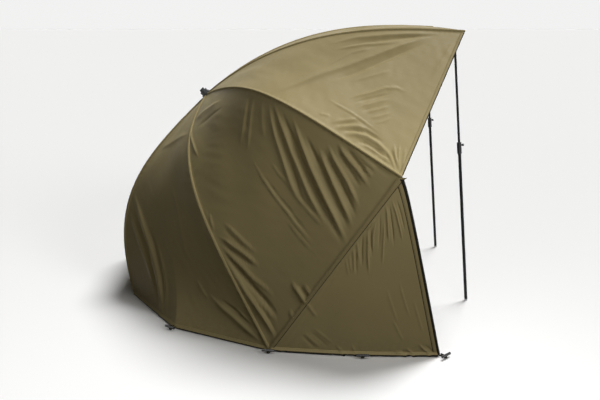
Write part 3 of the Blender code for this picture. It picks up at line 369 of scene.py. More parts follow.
WING_FOLDS = (
    (5.4, 4.8, (385, 202), (387, 212), (388, 228), (389, 244)),
    (-4.8, 4.8, (389, 202), (391, 216), (393, 232), (394, 248)),
    (4.6, 4.6, (391, 197), (396, 212), (400, 228), (403, 243)),
    (-3.4, 4.6, (396, 198), (401, 214), (405, 232)),
    (4.2, 4.2, (384, 218), (384, 232), (383, 250), (382, 268)),
    (-3.6, 4.5, (380, 212), (380, 230), (379, 250)),
    (4, 4.5, (378, 219), (375, 225), (373, 236), (373, 252)),
    (-4.6, 4.8, (371, 226), (371, 240), (372, 258)),
    (6.2, 5.2, (368, 226), (368, 240), (368, 256), (369, 276)),
    (-5.2, 5, (363, 233), (362, 248), (362, 268)),
    (4.6, 4.2, (357, 240), (358, 250), (359, 262)),
    (5.2, 4.2, (353, 246), (354, 258), (354, 274)),
    (-4.2, 4.2, (356, 250), (356, 262), (357, 276)),
    (3.6, 3.8, (349, 254), (350, 264), (352, 274)),
    (3, 3.8, (346, 258), (347, 266), (349, 276)),
    (3.4, 4.5, (376, 219), (371, 226), (366, 231)),
    (2, 5, (399, 280), (402, 292), (406, 306), (411, 320)),
    (1.8, 5, (392, 318), (398, 330), (404, 342)),
    (1.8, 5, (413, 298), (418, 316), (424, 336)),
    (1.6, 6, (386, 286), (392, 306), (399, 326)),
    (4.6, 4.2, (392, 350), (400, 351), (409, 354)),
    (-3.4, 4, (398, 349), (406, 351), (413, 355)),
    (4, 4.2, (405, 347), (411, 351), (416, 355)),
    (5.8, 4.8, (418, 343), (424, 349), (432, 355)),
    (-3.4, 4.2, (424, 344), (430, 349), (436, 355)),
    (4, 4.2, (335, 343), (341, 349), (347, 355)),
    (-3, 4.5, (300, 333), (309, 341), (318, 349)),
    (3.2, 5, (303, 331), (312, 339), (322, 347)),
    (-2.4, 4.5, (308, 329), (318, 337), (330, 347)),
    (2.2, 5, (312, 326), (322, 334), (334, 343)),
    (3, 4, (351, 342), (354, 349), (357, 356)),
    (4.8, 5, (304, 300), (311, 309), (318, 318)),
)


def with_mirrored(*folds):
    """Folds of one half of a gore, each followed by its mirror image."""
    both = []
    for fold in folds:
        both += [fold, fold[:2] + tuple((-across, down) for across, down in fold[2:])]
    return both


# Folds of the gores that the photo doesn't show, with points in metres across and down the gore
OPEN_FOLDS = with_mirrored(
    (9, 20, (0.44, 1.40), (0.26, 1.15), (0.10, 0.80)),
    (5, 12, (0.42, 1.42), (0.20, 1.30), (0.02, 1.24)),
    (3, 10, (0.30, 1.10), (0.22, 0.90), (0.16, 0.70)),
) + [(4, 18, (0.00, 1.42), (0.01, 1.20), (0.00, 0.90))]
REAR_FOLDS = with_mirrored(
    (9, 16, (0.34, 1.46), (0.22, 1.20), (0.14, 0.90)),
    (-5, 10, (0.36, 1.42), (0.25, 1.18), (0.18, 0.95)),
    (6, 12, (0.36, 1.46), (0.12, 1.34), (-0.06, 1.20)),
)
GORE_FOLDS = (
    FRONT_FOLDS, SIDE_FOLDS, BACK_FOLDS, REAR_FOLDS, BACK_FOLDS, SIDE_FOLDS, FRONT_FOLDS, OPEN_FOLDS
)


# Geometry of the frame


def shares(count):
    """Evenly spaced shares from 0 to 1, in this many steps."""
    return np.linspace(0.0, 1.0, count + 1)


def unit(vectors):
    """Vectors scaled to length one."""
    return vectors / np.maximum(np.linalg.norm(vectors, axis=-1, keepdims=True), SMALLEST)


def smooth_step(value):
    """Smooth rise from 0 to 1."""
    value = np.clip(value, 0.0, 1.0)
    return value * value * (3.0 - 2.0 * value)


def arch(share):
    """Rise from 0 to 1 in the middle, and back."""
    return 4.0 * share * (1.0 - share)


def outward(turn):
    """Direction square to the mast, at a turn from the upper front to the right."""
    return RISE * math.cos(turn) + RIGHT * math.sin(turn)


def rib_turn(place, side):
    """Turn of a rib about the mast."""
    turn = HALF_STEP * (2 * PLACES.index(place) + 1)
    return turn if side == "right" else -turn


def rib_at(index):
    """Place and side of the rib with this number, counted to the right from the front."""
    return RIBS[index % RIB_COUNT]


def tip_drop(place):
    """How far down the mast's line a rib's tip lies; back and rear tips stand on the ground."""
    if place in TIP_DROPS:
        return TIP_DROPS[place]
    rise = REACHES[place] * math.cos(rib_turn(place, "right")) * math.cos(TILT)
    return (BOSS_HEIGHT + rise - FOOT_HEIGHT) / math.sin(TILT)


def ridge_profile(place):
    """Canopy line over a rib as evenly spaced (radius, drop) rows, with its length."""
    reach = REACHES[place]
    start = np.array((HINGE_RADIUS, 0.0))
    tip = np.array((reach, tip_drop(place)))
    leave = math.radians(START_ANGLES[place])
    arrive = math.radians(END_ANGLES[place])
    first = start + reach * START_PULL_SHARES[place] * np.array((math.sin(leave), math.cos(leave)))
    second = tip - reach * END_PULL_SHARES[place] * np.array((math.sin(arrive), math.cos(arrive)))
    share = shares(2 * PROFILE_STEPS)[:, None]
    rest = 1.0 - share
    curve = rest**3 * start + 3 * rest**2 * share * first
    curve = curve + 3 * rest * share**2 * second + share**3 * tip
    lengths = np.hypot(*np.diff(curve, axis=0).T)
    along = np.concatenate(((0.0,), np.cumsum(lengths)))
    even = np.linspace(0.0, along[-1], PROFILE_STEPS + 1)
    return np.stack([np.interp(even, along, column) for column in curve.T], 1), along[-1]


PROFILES = {place: ridge_profile(place) for place in PLACES}


def ridge_line(index, share):
    """Points on the canopy line over a rib, for an array of shares of its length."""
    place, side = rib_at(index)
    radius, drop = (np.interp(share, shares(PROFILE_STEPS), row) for row in PROFILES[place][0].T)
    return HUB + drop[..., None] * AXIS + radius[..., None] * outward(rib_turn(place, side))


def rib_tip(place, side):
    """End of the canopy line over a rib."""
    return ridge_line(RIBS.index((place, side)), np.array(1.0))


def rib_length(index):
    """Length of the canopy line over a rib."""
    return PROFILES[rib_at(index)[0]][1]


def front_rib(index):
    """Number of whichever of a gore's two ribs is nearer the front."""
    return index if index < len(PLACES) else index + 1


def gore_length(index):
    """Length of the canopy line over the rib of a gore that is nearer the front."""
    return rib_length(front_rib(index))


def gore_places(index):
    """Places of a gore's two ribs."""
    return {rib_at(index)[0], rib_at(index + 1)[0]}


def gore_outside(index):
    """Direction out of a gore at its middle."""
    return outward(HALF_STEP * (2 * index + 2)) - AXIS


def gore_width(index, share):
    """Straight distance between a gore's two ribs."""
    return np.linalg.norm(ridge_line(index + 1, share) - ridge_line(index, share), axis=-1)


def back_pull(side):
    """How far the peg at the middle of a back gore draws the hem outwards."""
    return np.array((-BACK_HEM_PULL_BACK, SIGNS[side] * BACK_HEM_PULL_SIDE, 0.0))


def photo_places(points):
    """Where points of the right half, or their mirror images, fall in the photo, in pixels."""
    near = np.array(points)
    near[..., 1] = -np.abs(near[..., 1])
    from_camera = near - CAMERA_SPOT
    ahead = np.array((0.0, math.cos(CAMERA_PITCH), -math.sin(CAMERA_PITCH)))
    down = np.array((0.0, -math.sin(CAMERA_PITCH), -math.cos(CAMERA_PITCH)))
    depth = from_camera @ ahead
    scale = LENS / SENSOR * PHOTO_WIDTH
    across = PHOTO_WIDTH / 2 + scale * from_camera[..., 0] / depth
    below = PHOTO_HEIGHT / 2 + scale * (from_camera @ down) / depth
    return np.stack((across, below), -1)


# Relief of the cloth


def fold_relief(places, folds, unit_size):
    """Height of the folds at flat places; each fold is a ridge that dies away at its ends."""
    flat = places * unit_size
    relief = np.zeros(flat.shape[:-1])
    for height, width, *points in folds:
        line = np.array(points, float) * unit_size
        steps = np.linalg.norm(np.diff(line, axis=0), axis=1)
        nearest = np.full(relief.shape, np.inf)
        along = np.zeros(relief.shape)
        signed = np.zeros(relief.shape)
        travelled = 0.0
        for start, end, step in zip(line, line[1:], steps):
            heading = (end - start) / step
            offset = flat - start
            reach = np.clip(offset @ heading, 0.0, step)
            gap = offset - reach[..., None] * heading
            distance = np.linalg.norm(gap, axis=-1)
            closer = distance < nearest
            nearest = np.where(closer, distance, nearest)
            along = np.where(closer, (travelled + reach) / steps.sum(), along)
            side = gap[..., 0] * heading[1] - gap[..., 1] * heading[0]
            signed = np.where(closer, np.sign(side), signed)
            travelled += step
        fade = smooth_step(along / FOLD_FADE_SHARE) * smooth_step((1.0 - along) / FOLD_FADE_SHARE)
        spread = width * FOLD_UNIT * (FOLD_END_SHARE + (1.0 - FOLD_END_SHARE) * fade)
        spread = spread * np.where(signed > 0.0, 1.0 - FOLD_LEAN, 1.0 + FOLD_LEAN)
        relief += height * FOLD_UNIT * fade * np.exp(-((nearest / spread) ** FOLD_SHARPNESS))
    return relief


def wave(place, length, phase):
    """Sine wave along a line, for an array of places on it."""
    return np.sin(2.0 * math.pi * place / length + phase)


def ripples(places, slant, seed):
    """Small uneven waves of stretched cloth, long in the direction of its folds."""
    chance = np.random.default_rng(seed)
    relief = np.zeros(places.shape[:-1])
    for _ in range(RIPPLE_COUNT):
        turn = slant + chance.normal(0.0, RIPPLE_SPREAD)
        length = chance.uniform(*RIPPLE_LENGTHS)
        over = places @ np.array((math.cos(turn), math.sin(turn)))
        along = places @ np.array((-math.sin(turn), math.cos(turn)))
        phases = chance.uniform(0.0, 2.0 * math.pi, 4)
        bend = wave(along, length * RIPPLE_BEND_RUN, phases[0])
        swell = wave(along, length * RIPPLE_SWELL_RUNS[0], phases[1])
        swell = swell * wave(over, length * RIPPLE_SWELL_RUNS[1], phases[2])
        relief += wave(over, length, phases[3] + RIPPLE_BEND * bend) * np.maximum(swell, 0.0)
    return RIPPLE_HEIGHT * relief


def pucker(across, share, width, length):
    """Small gathers of the cloth along the seams over the ribs."""
    from_seam = np.minimum(across, 1.0 - across) * width
    band = np.exp(-((from_seam / PUCKER_REACH) ** 2)) * smooth_step(from_seam / PUCKER_START)
    quick, uneven, slow = (share * length * rate for rate in PUCKER_RATES)
    gathers = np.sin(quick + PUCKER_WANDER * np.sin(uneven))
    gathers = gathers * (PUCKER_STEADY_SHARE + (1.0 - PUCKER_STEADY_SHARE) * np.sin(slow))
    return PUCKER_HEIGHT * band * gathers * smooth_step(share / PUCKER_FADE_SHARE)


def drape(across, share, index):
    """Slow unevenness of the stretched cloth."""
    swell = 0.0
    for over, down, shift, weight in DRAPE_WAVES:
        swell = swell + weight * wave(across * over + share * down, 1.0, shift * index)
    return DRAPE_HEIGHT * arch(across) * np.sin(math.pi * share) * swell


def gore_relief(index, point, across, share, width):
    """Height of a gore's relief above its sagging sheet; mirrored gores have the same ripples."""
    length = gore_length(index)
    over = (across - 0.5) * width
    if index in UNSEEN_GORES:
        relief = fold_relief(flat_places(over, share * length), GORE_FOLDS[index], 1.0)
    else:
        relief = fold_relief(photo_places(point), GORE_FOLDS[index], PIXEL_SIZE)
    kind = min(index, RIB_COUNT - 2 - index) if index < RIB_COUNT - 1 else RIB_COUNT
    flat = flat_places(over * (1.0 if index < len(PLACES) else -1.0), share * length)
    small = ripples(flat, RIPPLE_SLANTS.get(kind, 0.0), kind)
    relief = relief + small * smooth_step(share / RIPPLE_FADE_SHARE)
    from_rib = np.minimum(across, 1.0 - across)
    relief = relief * smooth_step(from_rib / RELIEF_EDGE_SHARE)
    relief = relief + pucker(across, share, width, length) + drape(across, share, index)
    from_seam = from_rib * width
    drop = smooth_step(from_seam / SEAM_DROP_START) * np.exp(-from_seam / SEAM_DROP_REACH)
    return relief - SEAM_DROP * drop


def flat_gore(index, across, share):
    """Points of the straight sheet between two ribs, and the chord through each."""
    near = ridge_line(index, share)
    chord = ridge_line(index + 1, share) - near
    return near + chord * across[..., None], chord


def gore_surface(index, across, share):
    """Points of one gore for arrays of places across and down it."""
    index = index % RIB_COUNT
    point, chord = flat_gore(index, across, share)
    step = 1.0 / PROFILE_STEPS
    ahead = flat_gore(index, across, np.minimum(share + step, 1.0))[0]
    behind = flat_gore(index, across, np.maximum(share - step, 0.0))[0]
    normal = unit(np.cross(chord, ahead - behind))
    normal = normal * np.where(normal @ gore_outside(index) < 0.0, -1.0, 1.0)[..., None]
    width = np.linalg.norm(chord, axis=-1)
    slack = GORE_SAG_SHARES[rib_at(front_rib(index))[0]]
    point = point - normal * (slack * width * arch(across) * np.sin(math.pi * share))[..., None]
    point = point + normal * gore_relief(index, point, across, share, width)[..., None]
    if gore_places(index) == {"back", "rear"}:
        hat = 1.0 - np.abs(2.0 * across - 1.0)
        point = point + back_pull(rib_at(index)[1]) * (hat * share**PULL_POWER)[..., None]
    low = share > GROUND_SHARE
    point[..., 2] = np.where(low, np.maximum(point[..., 2], FOOT_HEIGHT), point[..., 2])
    return point


# Meshes


def add_object(name, data):
    """Object in the scene with this mesh, light or camera."""
    item = bpy.data.objects.new(name, data)
    bpy.context.collection.objects.link(item)
    return item


def flat_places(across, along):
    """Flat places in metres, from how far across and how far along each point lies."""
    return np.stack(np.broadcast_arrays(across, along), -1)


def make_mesh(name, grid, flat, look, outside, normals=None):
    """Smooth mesh of a grid of points, with flat places in metres as its UV map."""
    rows, columns = grid.shape[:2]
    mesh = bpy.data.meshes.new(name)
    number = np.arange(rows * columns).reshape(rows, columns)
    corners = (number[:-1, :-1], number[:-1, 1:], number[1:, 1:], number[1:, :-1])
    quads = np.stack([corner.ravel() for corner in corners], -1)
    middle = grid[rows // 2, columns // 2]
    beside = grid[rows // 2, columns // 2 - 1]
    above = grid[rows // 2 - 1, columns // 2]
    if np.cross(middle - beside, middle - above) @ outside < 0.0:
        quads = quads[:, ::-1]
    mesh.from_pydata(grid.reshape(-1, 3).tolist(), [], quads.tolist())
    layer = mesh.uv_layers.new(name=CLOTH_MAP)
    loops = np.zeros(len(mesh.loops), np.int64)
    mesh.loops.foreach_get("vertex_index", loops)
    layer.data.foreach_set("uv", flat.reshape(-1, 2)[loops].astype(np.float32).ravel())
    mesh.shade_smooth()
    mesh.materials.append(look)
    mesh.validate()
    if normals is not None:
        mesh.normals_split_custom_set_from_vertices(normals.reshape(-1, 3).tolist())
    return add_object(name, mesh)


def grid_normals(grid, outside):
    """Normals of a grid of points, on the outer side."""
    normal = unit(np.cross(np.gradient(grid, axis=0), np.gradient(grid, axis=1)))
    middle = normal[grid.shape[0] // 2, grid.shape[1] // 2]
    return normal if middle @ outside > 0.0 else -normal


def strip(name, points, normals, offsets, lifts, along, look, outside):
    """Raised tape on a grid of points, with an offset and a lift for each column."""
    lifted = points + normals * np.array(lifts)[None, :, None]
    return make_mesh(name, lifted, flat_places(offsets, along[:, None]), look, outside)


# Materials


def feed(tree, socket, value):
    """Gives a socket a number or colour, or links one to it."""
    if isinstance(value, bpy.types.NodeSocket):
        tree.links.new(value, socket)
    elif socket.type == "RGBA":
        socket.default_value = (*value, 1.0)
    else:
        socket.default_value = value


def add_node(tree, kind, inputs, output=0):
    """New shader node with its inputs fed; gives one of its outputs."""
    node = tree.nodes.new("ShaderNode" + kind)
    for name, value in inputs.items():
        feed(tree, node.inputs[name], value)
    return node.outputs[output]


def principled(name, colour, roughness, extras):
    """Material with its node tree and shader."""
    look = bpy.data.materials.new(name)
    look.use_nodes = True
    look.diffuse_color = (*colour, 1.0)
    tree = look.node_tree
    shader = tree.nodes["Principled BSDF"]
    for socket, value in {"Base Color": colour, "Roughness": roughness, **extras}.items():
        feed(tree, shader.inputs[socket], value)
    return look, tree, shader


def dress(tree, shader, colour, roughness, normal):
    """Links a finish to its shader."""
    for socket, value in (("Base Color", colour), ("Roughness", roughness), ("Normal", normal)):
        feed(tree, shader.inputs[socket], value)


def cloth_places(tree):
    """Flat places on the cloth in metres."""
    places = tree.nodes.new("ShaderNodeUVMap")
    places.uv_map = CLOTH_MAP
    return places.outputs["UV"]


def part_of(tree, place, axis):
    """One coordinate of a place."""
    return add_node(tree, "SeparateXYZ", {"Vector": place}, axis)


def add_noise(tree, source, scale, detail=3.0, roughness=0.5, distortion=0.0):
    """Noise texture on a coordinate socket."""
    inputs = {"Scale": scale, "Detail": detail, "Roughness": roughness, "Distortion": distortion}
    return add_node(tree, "TexNoise", {"Vector": source, **inputs}, "Fac")


def add_range(tree, source, low, high, start=0.3, end=0.7):
    """Value mapped from one range, by default the middle of a noise, to another."""
    inputs = {"From Min": start, "From Max": end, "To Min": low, "To Max": high}
    return add_node(tree, "MapRange", {"Value": source, **inputs}, "Result")


def add_mix(tree, factor, first, second):
    """Mix of two colours by a factor."""
    node = tree.nodes.new("ShaderNodeMix")
    node.data_type = "RGBA"
    for socket, value in (("Factor", factor), (MIX_FIRST, first), (MIX_SECOND, second)):
        feed(tree, node.inputs[socket], value)
    return node.outputs[MIX_RESULT]


def add_math(tree, operation, *values):
    """Sum, product or other function of numbers or sockets."""
    node = tree.nodes.new("ShaderNodeMath")
    node.operation = operation
    for value, socket in zip(values, node.inputs):
        feed(tree, socket, value)
    return node.outputs[0]


def add_bump(tree, height, strength, distance, normal=None):
    """Bump on a height socket, over an earlier bump if there is one."""
    inputs = {"Strength": strength, "Distance": distance, "Height": height}
    if normal is not None:
        inputs["Normal"] = normal
    return add_node(tree, "Bump", inputs, "Normal")


def shade(colour, factor):
    """Colour made lighter or darker."""
    return tuple(min(1.0, channel * factor) for channel in colour)


def weave_height(tree, place, pitch):
    """Over-and-under pattern of a plain weave, from flat places in metres."""
    turns = 2.0 * math.pi / pitch
    warp, weft = (
        add_math(tree, "SINE", add_math(tree, "MULTIPLY", part_of(tree, place, axis), turns))
        for axis in ("X", "Y")
    )
    return add_math(tree, "MULTIPLY", warp, weft)


def crease_height(tree, flat, turn, pitch):
    """Thin wandering ridges, long in one direction, from flat places in metres."""
    scale = (1.0 / pitch, 1.0 / (pitch * CREASE_STRETCH), 1.0)
    place = add_node(tree, "Mapping", {"Vector": flat, "Rotation": (0.0, 0.0, turn), "Scale": scale})
    wander = add_noise(tree, place, 1.0, 2.0, 0.5, 0.5)
    ridge = add_math(tree, "ABSOLUTE", add_math(tree, "SUBTRACT", wander, 0.5))
    return add_range(tree, ridge, 1.0, 0.0, 0.0, CREASE_WIDTH)


def nylon_look():
    """Coated khaki nylon: fine weave, creases from packing, satin finish and slight soiling."""
    look, tree, shader = principled("coated_nylon_cloth", NYLON, 0.46, CLOTH_GLOSS)
    flat = cloth_places(tree)
    spot = add_node(tree, "TexCoord", {}, "Object")
    broad = add_range(tree, add_noise(tree, spot, 2.2, 4.0), 0.0, 1.0)
    fine = add_noise(tree, spot, 55.0)
    colour = add_mix(tree, broad, shade(NYLON, 0.93), shade(NYLON, 1.07))
    thread = add_range(tree, add_noise(tree, flat, 900.0, 1.0), 0.0, 0.14, 0.4, 0.7)
    colour = add_mix(tree, thread, colour, shade(NYLON, 0.55))
    soil = add_range(tree, part_of(tree, spot, "Z"), SOIL_LEVEL, 0.0, 0.0, SOIL_HEIGHT)
    soil = add_math(tree, "MULTIPLY", soil, add_range(tree, fine, 0.2, 1.0, 0.35, 0.65))
    colour = add_mix(tree, soil, colour, shade(NYLON, 0.45))
    bump = add_bump(tree, add_noise(tree, spot, 24.0, 3.0, 0.55, 0.6), 0.07, CRUMPLE_DEPTH)
    for turn, pitch, strength in CREASES:
        bump = add_bump(tree, crease_height(tree, flat, turn, pitch), strength, CREASE_DEPTH, bump)
    bump = add_bump(tree, weave_height(tree, flat, NYLON_PITCH), 0.08, NYLON_WEAVE_DEPTH, bump)
    dress(tree, shader, colour, add_range(tree, fine, 0.40, 0.54), bump)
    return look


def tape_look(name, colour, width, shade_line_width=None):
    """Woven tape with a row of stitches near each edge, and a line of painted shade along one edge if
    its width is given.
    """
    look, tree, shader = principled(name, colour, 0.60, CLOTH_GLOSS)
    flat = cloth_places(tree)
    across = part_of(tree, flat, "X")
    row = add_math(tree, "SUBTRACT", add_math(tree, "ABSOLUTE", across), width * STITCH_ROW_SHARE)
    row = add_math(tree, "LESS_THAN", add_math(tree, "ABSOLUTE", row), STITCH_WIDTH * 0.5)
    dash = add_math(tree, "FRACT", add_math(tree, "DIVIDE", part_of(tree, flat, "Y"), STITCH_PITCH))
    dash = add_math(tree, "LESS_THAN", dash, STITCH_LENGTH_SHARE)
    stitch = add_math(tree, "MULTIPLY", row, dash)
    fine = add_noise(tree, flat, 400.0)
    fleck = add_range(tree, fine, 0.0, 1.0)
    body = add_mix(tree, fleck, shade(colour, 0.88), shade(colour, 1.10))
    body = add_mix(tree, stitch, body, shade(colour, 0.42))
    # Painted shade: a dark line along the edge, standing in for the shadow under a hem or in the crease
    # beside a band
    if shade_line_width is not None:
        shade_line = add_math(tree, "GREATER_THAN", across, width * 0.5 - shade_line_width)
        body = add_mix(tree, shade_line, body, BINDING_BLACK_AND_PAINTED_SHADE)
    bump = add_bump(tree, weave_height(tree, flat, TAPE_PITCH), 0.30, TAPE_WEAVE_DEPTH)
    bump = add_bump(tree, stitch, 0.60, -STITCH_DEPTH, bump)
    dress(tree, shader, body, add_range(tree, fine, 0.52, 0.70), bump)
    return look


def plastic_look(name, colour, roughness, grain):
    """Moulded plastic with a fine grain and rubbed, slightly lighter patches."""
    look, tree, shader = principled(name, colour, roughness, {"Coat Weight": 0.10})
    spot = add_node(tree, "TexCoord", {}, "Object")
    scuff = add_noise(tree, spot, 38.0, 5.0, 0.6)
    fine = add_noise(tree, spot, grain, 2.0)
    rubbed = add_mix(tree, add_range(tree, scuff, 0.0, 1.0, 0.45, 0.8), colour, shade(colour, 1.9))
    rough = add_range(tree, scuff, roughness - SMOOTHER, roughness + ROUGHER)
    dress(tree, shader, rubbed, rough, add_bump(tree, fine, 0.25, GRAIN_DEPTH))
    return look


def metal_look(name, colour, roughness):
    """Tube metal with fine drawing lines and rubbed wear."""
    look, tree, shader = principled(name, colour, roughness, {"Metallic": 0.85})
    spot = add_node(tree, "TexCoord", {}, "Object")
    drawn = add_node(tree, "Mapping", {"Vector": spot, "Scale": DRAWING_SCALE})
    lines = add_noise(tree, drawn, 1.0, 3.0, 0.6)
    worn = add_range(tree, add_noise(tree, spot, 45.0, 6.0, 0.7), 0.0, 0.55, 0.60, 0.78)
    rubbed = add_mix(tree, worn, colour, shade(colour, 3.5))
    rough = add_range(tree, lines, roughness - DRAWN_SMOOTHER, roughness + ROUGHER)
    dress(tree, shader, rubbed, rough, add_bump(tree, lines, 0.15, DRAWING_DEPTH))
    return look


# Canopy


def canopy_grids():
    """Points and normals of the gores; neighbours have the same normals along their seam."""
    down, over = np.meshgrid(shares(ROWS), shares(2 * HALF_COLUMNS), indexing="ij")
    grids = []
    normals = []
    for index in range(RIB_COUNT):
        points = gore_surface(index, over, down)
        eye = HUB + (points[:1] - HUB) * (EYE_RADIUS / HINGE_RADIUS)
        grids.append(np.concatenate((eye, points), 0))
        normals.append(grid_normals(grids[-1], gore_outside(index)))
    for index in range(RIB_COUNT):
        shared = unit(normals[index - 1][:, -1] + normals[index][:, 0])
        normals[index - 1][:, -1] = shared
        normals[index][:, 0] = shared
    return grids, normals


def build_canopy(cloth, tape, hem):
    """Canopy cloth by half gore, with its seams over the ribs and its hem."""
    for index, (grid, normals) in enumerate(zip(*canopy_grids())):
        seams = [build_seam(index, normals[1:, 0], tape)]
        build_half_gore(index, "first", grid, normals, cloth, hem)
        build_half_gore(index, "second", grid, normals, cloth, hem)


def build_half_gore(index, half, grid, normals, cloth, hem):
    """Half a gore, from its middle to one of its ribs, with its hem."""
    first = half == "first"
    place, side = rib_at(index if first else index + 1)
    columns = slice(0, HALF_COLUMNS + 1) if first else slice(HALF_COLUMNS, None)
    chords = grid[:, -1] - grid[:, 0]
    width = np.linalg.norm(chords, axis=1)
    over = (shares(2 * HALF_COLUMNS)[columns] - 0.5) * width[:, None]
    along = np.concatenate(((0.0,), shares(ROWS) * gore_length(index)))
    flat = flat_places(over, along[:, None])
    outside = gore_outside(index)
    name = f"canopy_cloth_{place}_{side}_{half}"
    piece = make_mesh(name, grid[:, columns], flat, cloth, outside, normals[:, columns])
    trims = build_hem(index, half, hem, outside)
    carry([piece] + trims, f"rib_{place}_{side}")
    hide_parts(f"canopy_{place}_{side}")


def carry(members, body):
    """Puts cloth on a body, each piece with its own copy of its mesh."""
    for member in members:
        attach(member, body)
        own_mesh(member)


def build_seam(index, normals, tape):
    """Rounded welt of the seam over a rib."""
    place, side = rib_at(index)
    share = shares(ROWS)
    offsets = np.array(SEAM_OFFSET_SHARES)
    columns = []
    for offset in offsets * WELT_WIDTH:
        if offset < 0.0:
            across = 1.0 + offset / gore_width(index - 1, share)
            columns.append(gore_surface(index - 1, across, share))
        else:
            columns.append(gore_surface(index, offset / gore_width(index, share), share))
    lifts = np.sqrt(1.0 - (2.0 * offsets) ** 2) * WELT_HEIGHT
    piece = strip(
        f"seam_tape_{place}_{side}", np.stack(columns, 1), normals[:, None, :], offsets * WELT_WIDTH,
        lifts, share * rib_length(index), tape, outward(rib_turn(place, side)) - AXIS,
    )
    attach(piece, f"rib_{place}_{side}")
    return piece


def build_hem(index, half, look, outside):
    """Hem of half a gore, folded and stitched; the side gore's edge is sewn to the wing instead."""
    if gore_places(index) == {"side", "back"}:
        return []
    place, side = rib_at(index if half == "first" else index + 1)
    rows = np.array(HEM_ROW_SHARES)
    down = 1.0 - HEM_WIDTH / gore_length(index) * (1.0 - rows)
    over = shares(HALF_COLUMNS) * 0.5 + (0.0 if half == "first" else 0.5)
    down, over = np.meshgrid(down, over, indexing="ij")
    points = gore_surface(index, over, down)
    normal = grid_normals(points, outside)
    lifted = points + normal * np.array(HEM_LIFTS)[:, None, None]
    if gore_places(index) <= {"back", "rear"}:
        aside = unit(normal * np.array((1.0, 1.0, 0.0)))
        lifted = lifted + aside * (HEM_FLARE * rows**HEM_FLARE_POWER)[:, None, None]
    turned = lifted[-1:] - normal[-1:] * HEM_THICKNESS
    lifted = np.concatenate((lifted, turned), 0)
    width = np.linalg.norm(points[-1, -1] - points[-1, 0])
    from_middle = (np.append(rows, HEM_TURNED_SHARE) - 0.5)[:, None] * HEM_WIDTH
    flat = flat_places(from_middle, shares(HALF_COLUMNS) * width)
    return [make_mesh(f"hem_{place}_{side}_{half}_half", lifted, flat, look, outside)]


# Wings


def wing_corners(side):
    """Top, back foot and front foot of a wing's triangle."""
    back = rib_tip("back", side)
    front = back + np.array((WING_LENGTH, SIGNS[side] * WING_FLARE, 0.0))
    return rib_tip("side", side), back, front


def wing_surface(side, across, down):
    """Points of a wing for arrays of places from the seam to the front and down to the hem."""
    top, back, front = wing_corners(side)
    seam = top + (back - top) * down[..., None]
    edge = top + (front - top) * down[..., None]
    edge[..., 0] += EDGE_BOW * np.sin(math.pi * down**EDGE_BOW_POWER)
    point = seam + (edge - seam) * across[..., None]
    relief = fold_relief(photo_places(point), WING_FOLDS, PIXEL_SIZE)
    flat = flat_places(across * down * WING_LENGTH, down * np.linalg.norm(front - top))
    relief = relief + ripples(flat, WING_RIPPLE_SLANT, RIB_COUNT + 1)
    relief = relief * smooth_step(across * down / SEAM_RIM_SHARE)
    relief = relief * smooth_step((1.0 - across) * down / EDGE_RIM_SHARE)
    relief = relief + WING_PULL * np.sin(math.pi * across) * down**WING_PULL_POWER
    gather = np.sin(across * GATHER_RATE + GATHER_WANDER * np.sin(across * GATHER_UNEVENNESS))
    gather = GATHER_HEIGHT * gather * np.exp(-across / GATHER_REACH_SHARE) * down
    relief = relief + gather * smooth_step(across / GATHER_START_SHARE)
    point[..., 1] += SIGNS[side] * relief
    return point


def build_wings(cloth, looks):
    """Wings with their diagonal seam, dark front edging with its folded band, and hem."""
    for side, sign in SIGNS.items():
        outside = np.array((0.0, sign, 0.0))
        top, back, front = wing_corners(side)
        length, height = np.linalg.norm(front - back), np.linalg.norm(front - top)
        steps = shares(WING_STEPS)
        rows = steps * (1.0 - WING_TOP_SHARE) + WING_TOP_SHARE
        down, across = np.meshgrid(rows, steps, indexing="ij")
        grid = wing_surface(side, across, down)
        flat = flat_places(across * down * length, down * height)
        piece = make_mesh(f"wing_cloth_{side}", grid, flat, cloth, outside, grid_normals(grid, outside))
        trims = [wing_strip(side, which, look, outside) for which, look in looks.items()]
        seam = unit(back - top)
        away = front - top
        away = away - seam * (away @ seam)
        carry([piece] + trims, f"wing_{side}")
        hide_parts(f"wing_{side}")


def wing_strip(side, which, look, outside):
    """Tape along the diagonal seam, the front edge or the hem of a wing."""
    top, back, front = wing_corners(side)
    width, offset_shares, lifts, start, run, middle, facing = WING_TRIMS[which]
    offsets = np.array(offset_shares) * width
    steps = shares(WING_STEPS)
    base = np.linalg.norm(front - back)
    line, places = np.meshgrid(steps * run + start, offsets, indexing="ij")
    if which == "hem":
        length = base
        across, down = line, 1.0 - (width - places) / np.linalg.norm(front - top)
    else:
        length = np.linalg.norm((back if which == "seam" else front) - top)
        across, down = places / (base * line), line
        if which != "seam":
            across = 1.0 + across
    points = wing_surface(side, across, down)
    lifts = np.array(lifts) * TAPE_HEIGHT
    flat_offsets = (offsets - middle * width) * facing
    normals = grid_normals(points, outside)
    name = f"wing_{which}_{side}"
    return strip(name, points, normals, flat_offsets, lifts, steps * length, look, outside)


# Webbing loops


def peg_spots(side):
    """Hem point and carrying body of the loop at each peg."""
    back, front = wing_corners(side)[1:]
    middle = wing_surface(side, np.array(WING_PEG_SHARE), np.array(1.0))
    corner = (back + rib_tip("rear", side)) * 0.5 + back_pull(side)
    return {
        "wing_front": (front, f"wing_{side}"),
        "wing_middle": (middle, f"wing_{side}"),
        "back_foot": (back, f"rib_back_{side}"),
        "back_middle": (corner, f"rib_back_{side}"),
    }


def loop_route(far):
    """Line of the webbing from the hem round a peg's shaft and back, seen from above."""
    run = LOOP_ENDS + [(far - LOOP_STRAIGHT, LOOP_RADIUS)]
    turns = [-math.pi / 2 + math.pi * step / LOOP_STEPS for step in range(LOOP_STEPS + 1)]
    bend = [(far + LOOP_RADIUS * math.cos(turn), LOOP_RADIUS * math.sin(turn)) for turn in turns]
    return np.array([(ahead, -aside) for ahead, aside in run] + bend + run[::-1])


